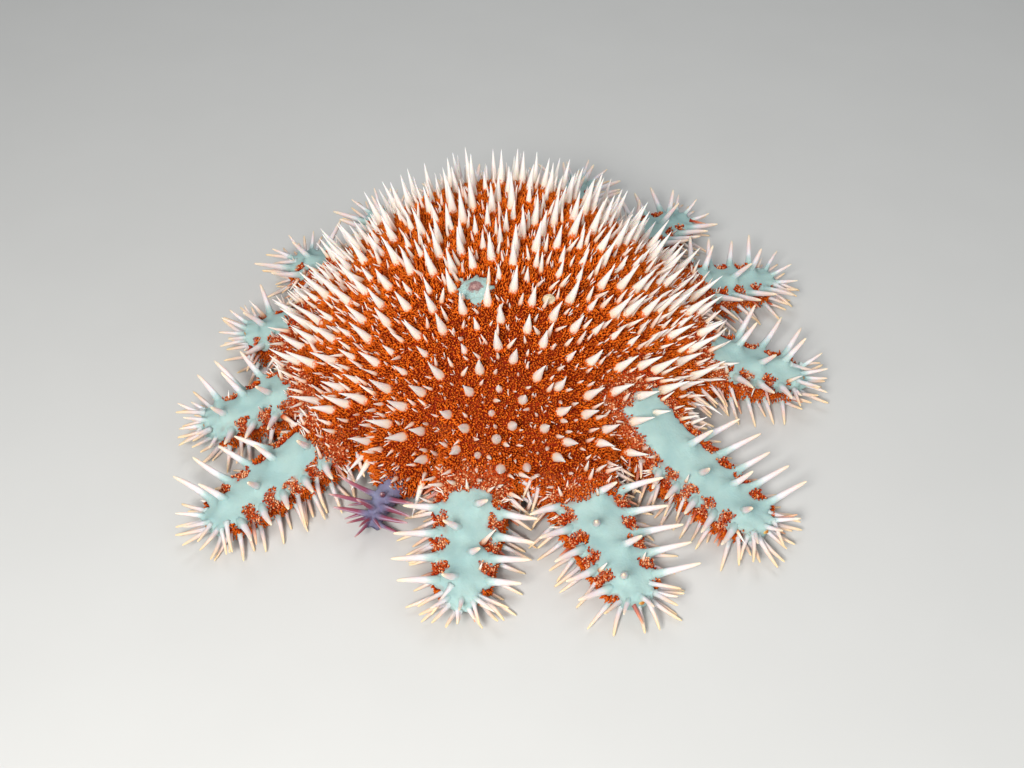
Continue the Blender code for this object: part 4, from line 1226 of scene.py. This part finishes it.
mouth_finish, tree, shader = new_finish("mouth_skin", 0.4, 0.15)
mouth_satin = use_group(tree, satin, {"Pale": (0.78, 0.52, 0.42), "Deep": (0.55, 0.28, 0.24)})
# Red round the middle, and near black at the very middle as painted shade of the closed-off opening.
throat_and_shade = shades(tree, value_of(tree, "out"), [
    (0.10, (0.14, 0.02, 0.02)), (0.38, (0.62, 0.16, 0.08)), (0.6, (1, 1, 1)),
])
inner = shades(tree, value_of(tree, "out"), [(0.3, (1, 1, 1)), (0.6, (0, 0, 0))])
finish_with(tree, shader, blend(tree, inner, mouth_satin["Color"], throat_and_shade), mouth_satin["Height"], 0.0001)
grid = np.concatenate((membrane, roof))[::-1]
mouth_piece = add_turned("mouth_membrane", grid, mouth_finish)
out = np.concatenate((np.broadcast_to(share, level.shape), np.ones((2, MOUTH_COLUMNS))))[::-1]
add_turned_values(mouth_piece, out=out)
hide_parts("mouth")

# The tube feet and the mouth spines
# Soft water-filled feet, each ending in a sucker, stand in two rows along the groove under every
# arm. Blunt cream spines guard the grooves from both sides, and longer ones stand further out.

FOOT_RINGS = [(0.0, 1.2), (0.3, 0.85), (0.78, 0.72), (0.88, 1.25), (0.97, 1.30)]
GUARD_RINGS = [(0.0, 1.3), (0.15, 1.0), (0.6, 0.92), (0.92, 0.55)]
LIFT = 0.0005  # of the suckers and the guards' tips above the floor
FOOT_SINK = 0.0008  # how far their roots lie in the skin
GROOVE_START = MOUTH_RADIUS + 0.003


def groove_rows(step, side, end_gap, seed):
    """Places beside the groove under every arm, on both sides of it, and their patches' corners.

    They start past the mouth and end the gap short of the arm's end, a step apart.
    """
    chance = np.random.default_rng(seed)
    rows = []
    for arm in range(len(ARMS)):
        distance = np.arange(GROOVE_START, reach[arm] - end_gap, step) + (arm % 2) * step / 2
        for turned in (-side, side):
            jitter = chance.uniform(-0.2, 0.2, len(distance))
            rows.append(np.stack(np.broadcast_arrays(arm, distance + jitter * step, turned), -1))
    arm, distance, turned = np.concatenate(rows).T
    arm = arm.astype(int)
    return body_point(arm, distance, turned, False), unwrap_at(arm, distance, turned, False)


foot_finish, tree, shader = new_finish("tube_foot", 0.3, 0.25)
ochre = shades(tree, value_of(tree, "along"), [
    (0.0, (0.80, 0.62, 0.40)), (0.75, (0.86, 0.70, 0.46)),
    (0.86, (0.80, 0.46, 0.20)), (1.0, (0.88, 0.66, 0.38)),
])
tinged = blend(tree, 0.3, ochre, use_group(tree, satin, TEAL)["Color"])
finish_with(tree, shader, tinged, noise(tree, 0.0004), 0.00004)
place, corner = groove_rows(step=0.0026, side=0.11, end_gap=0.008, seed=41)
chance = np.random.default_rng(42)
count = len(place)
axis = unit(chance.normal(0, 0.16, (count, 3)) + (0.0, 0.0, -1.0))
length = np.minimum(chance.uniform(0.0060, 0.0095, count), (place[:, 2] - LIFT) / -axis[:, 2])
radius = 0.00075 * chance.uniform(0.85, 1.15, count)
places = spikes(place, axis, length, radius, FOOT_RINGS, sides=6, sink=FOOT_SINK, bow=0.08, seed=43)
places[..., 2] = np.maximum(places[..., 2], BARE_DEPTH)
add_spikes("tube_feet", places, FOOT_RINGS, (corner, PATCH), foot_finish, "mouth_skin")

guard_finish, tree, shader = new_finish("guard_spine", 0.42, 0.10)
buff = shades(tree, value_of(tree, "along"), [
    (0.0, (0.55, 0.36, 0.32)), (0.4, (0.80, 0.60, 0.46)), (1.0, (0.92, 0.78, 0.52)),
])
chalky(tree, shader, buff, 0.00005)
for name, step, side, size, seed in (
    ("groove_spines", 0.0034, 0.34, 0.0050, 44),
    ("sole_spines", 0.0066, 0.60, 0.0080, 47),
):
    place, corner = groove_rows(step, side, 0.010, seed)
    chance = np.random.default_rng(seed + 1)
    axis = unit(chance.normal(0, 0.14, (len(place), 3)) + (0.0, 0.0, -1.0))
    length = np.minimum(size * chance.uniform(0.8, 1.2, len(place)), (place[:, 2] - LIFT) / -axis[:, 2])
    roomy = length > 0.4 * size
    place, axis, length, corner = place[roomy], axis[roomy], length[roomy], corner[roomy]
    radius = 0.11 * length + 0.0001
    places = spikes(
        place, axis, length, radius, GUARD_RINGS, sides=6, sink=FOOT_SINK, bow=0.03, seed=seed + 2
    )
    add_spikes(name, places, GUARD_RINGS, (corner, PATCH), guard_finish, "mouth_skin")

# The floor, the light and the camera
# A plain pale floor, three soft lights, and the camera where the photograph was taken: above and
# in front, close by.

FLOOR_HALF = 3.0
floor_mesh = bpy.data.meshes.new("floor")
floor_corners = [(x * FLOOR_HALF, y * FLOOR_HALF, 0.0) for x, y in ((-1, -1), (1, -1), (1, 1), (-1, 1))]
floor_mesh.from_pydata(floor_corners, [], [(0, 1, 2, 3)])
floor = bpy.data.objects.new("floor", floor_mesh)
bpy.context.scene.collection.objects.link(floor)
floor_finish, tree, shader = new_finish("pale_floor", 0.8)
finish_with(tree, shader, blend(tree, noise(tree, 0.05), (0.62, 0.62, 0.605), (0.65, 0.65, 0.635)))
floor_mesh.materials.append(floor_finish)

world = bpy.data.worlds.new("studio")
world.use_nodes = True
world.node_tree.nodes["Background"].inputs["Color"].default_value = (0.90, 0.93, 0.96, 1.0)
world.node_tree.nodes["Background"].inputs["Strength"].default_value = 0.25
bpy.context.scene.world = world
bpy.context.scene.view_settings.view_transform = "Standard"

# Each light: where it hangs, its size, its power in watts and its colour.
for name, place, size, power, tint in (
    ("key", (-0.16, -0.62, 0.50), 0.20, 5.9, (1.0, 0.98, 0.95)),
    ("fill", (0.75, -0.45, 0.50), 0.70, 1.7, (0.95, 0.98, 1.0)),
    ("back", (0.00, 0.40, 0.95), 0.50, 2.4, (0.96, 0.98, 1.0)),
):
    lamp = bpy.data.lights.new(name, "AREA")
    lamp.shape, lamp.size, lamp.energy, lamp.color = "DISK", size, power, tint
    holder = bpy.data.objects.new(name, lamp)
    holder.location = place
    holder.rotation_euler = (Vector((0, 0, 0.02)) - Vector(place)).to_track_quat("-Z", "Y").to_euler()
    bpy.context.scene.collection.objects.link(holder)

CAMERA_ELEVATION, CAMERA_DISTANCE, VIEW_ANGLE = math.radians(42), 0.5, math.radians(45)
aim = Vector(centre) + Vector((0.005, -0.012, 0.0))
camera_data = bpy.data.cameras.new("camera")
camera_data.sensor_width = 36.0
camera_data.angle = VIEW_ANGLE
camera_data.clip_start = 0.01
camera = bpy.data.objects.new("camera", camera_data)
towards = Vector((0.0, -math.cos(CAMERA_ELEVATION), math.sin(CAMERA_ELEVATION)))
camera.location = aim + CAMERA_DISTANCE * towards
camera.rotation_euler = (aim - camera.location).to_track_quat("-Z", "Y").to_euler()
bpy.context.scene.collection.objects.link(camera)
bpy.context.scene.camera = camera
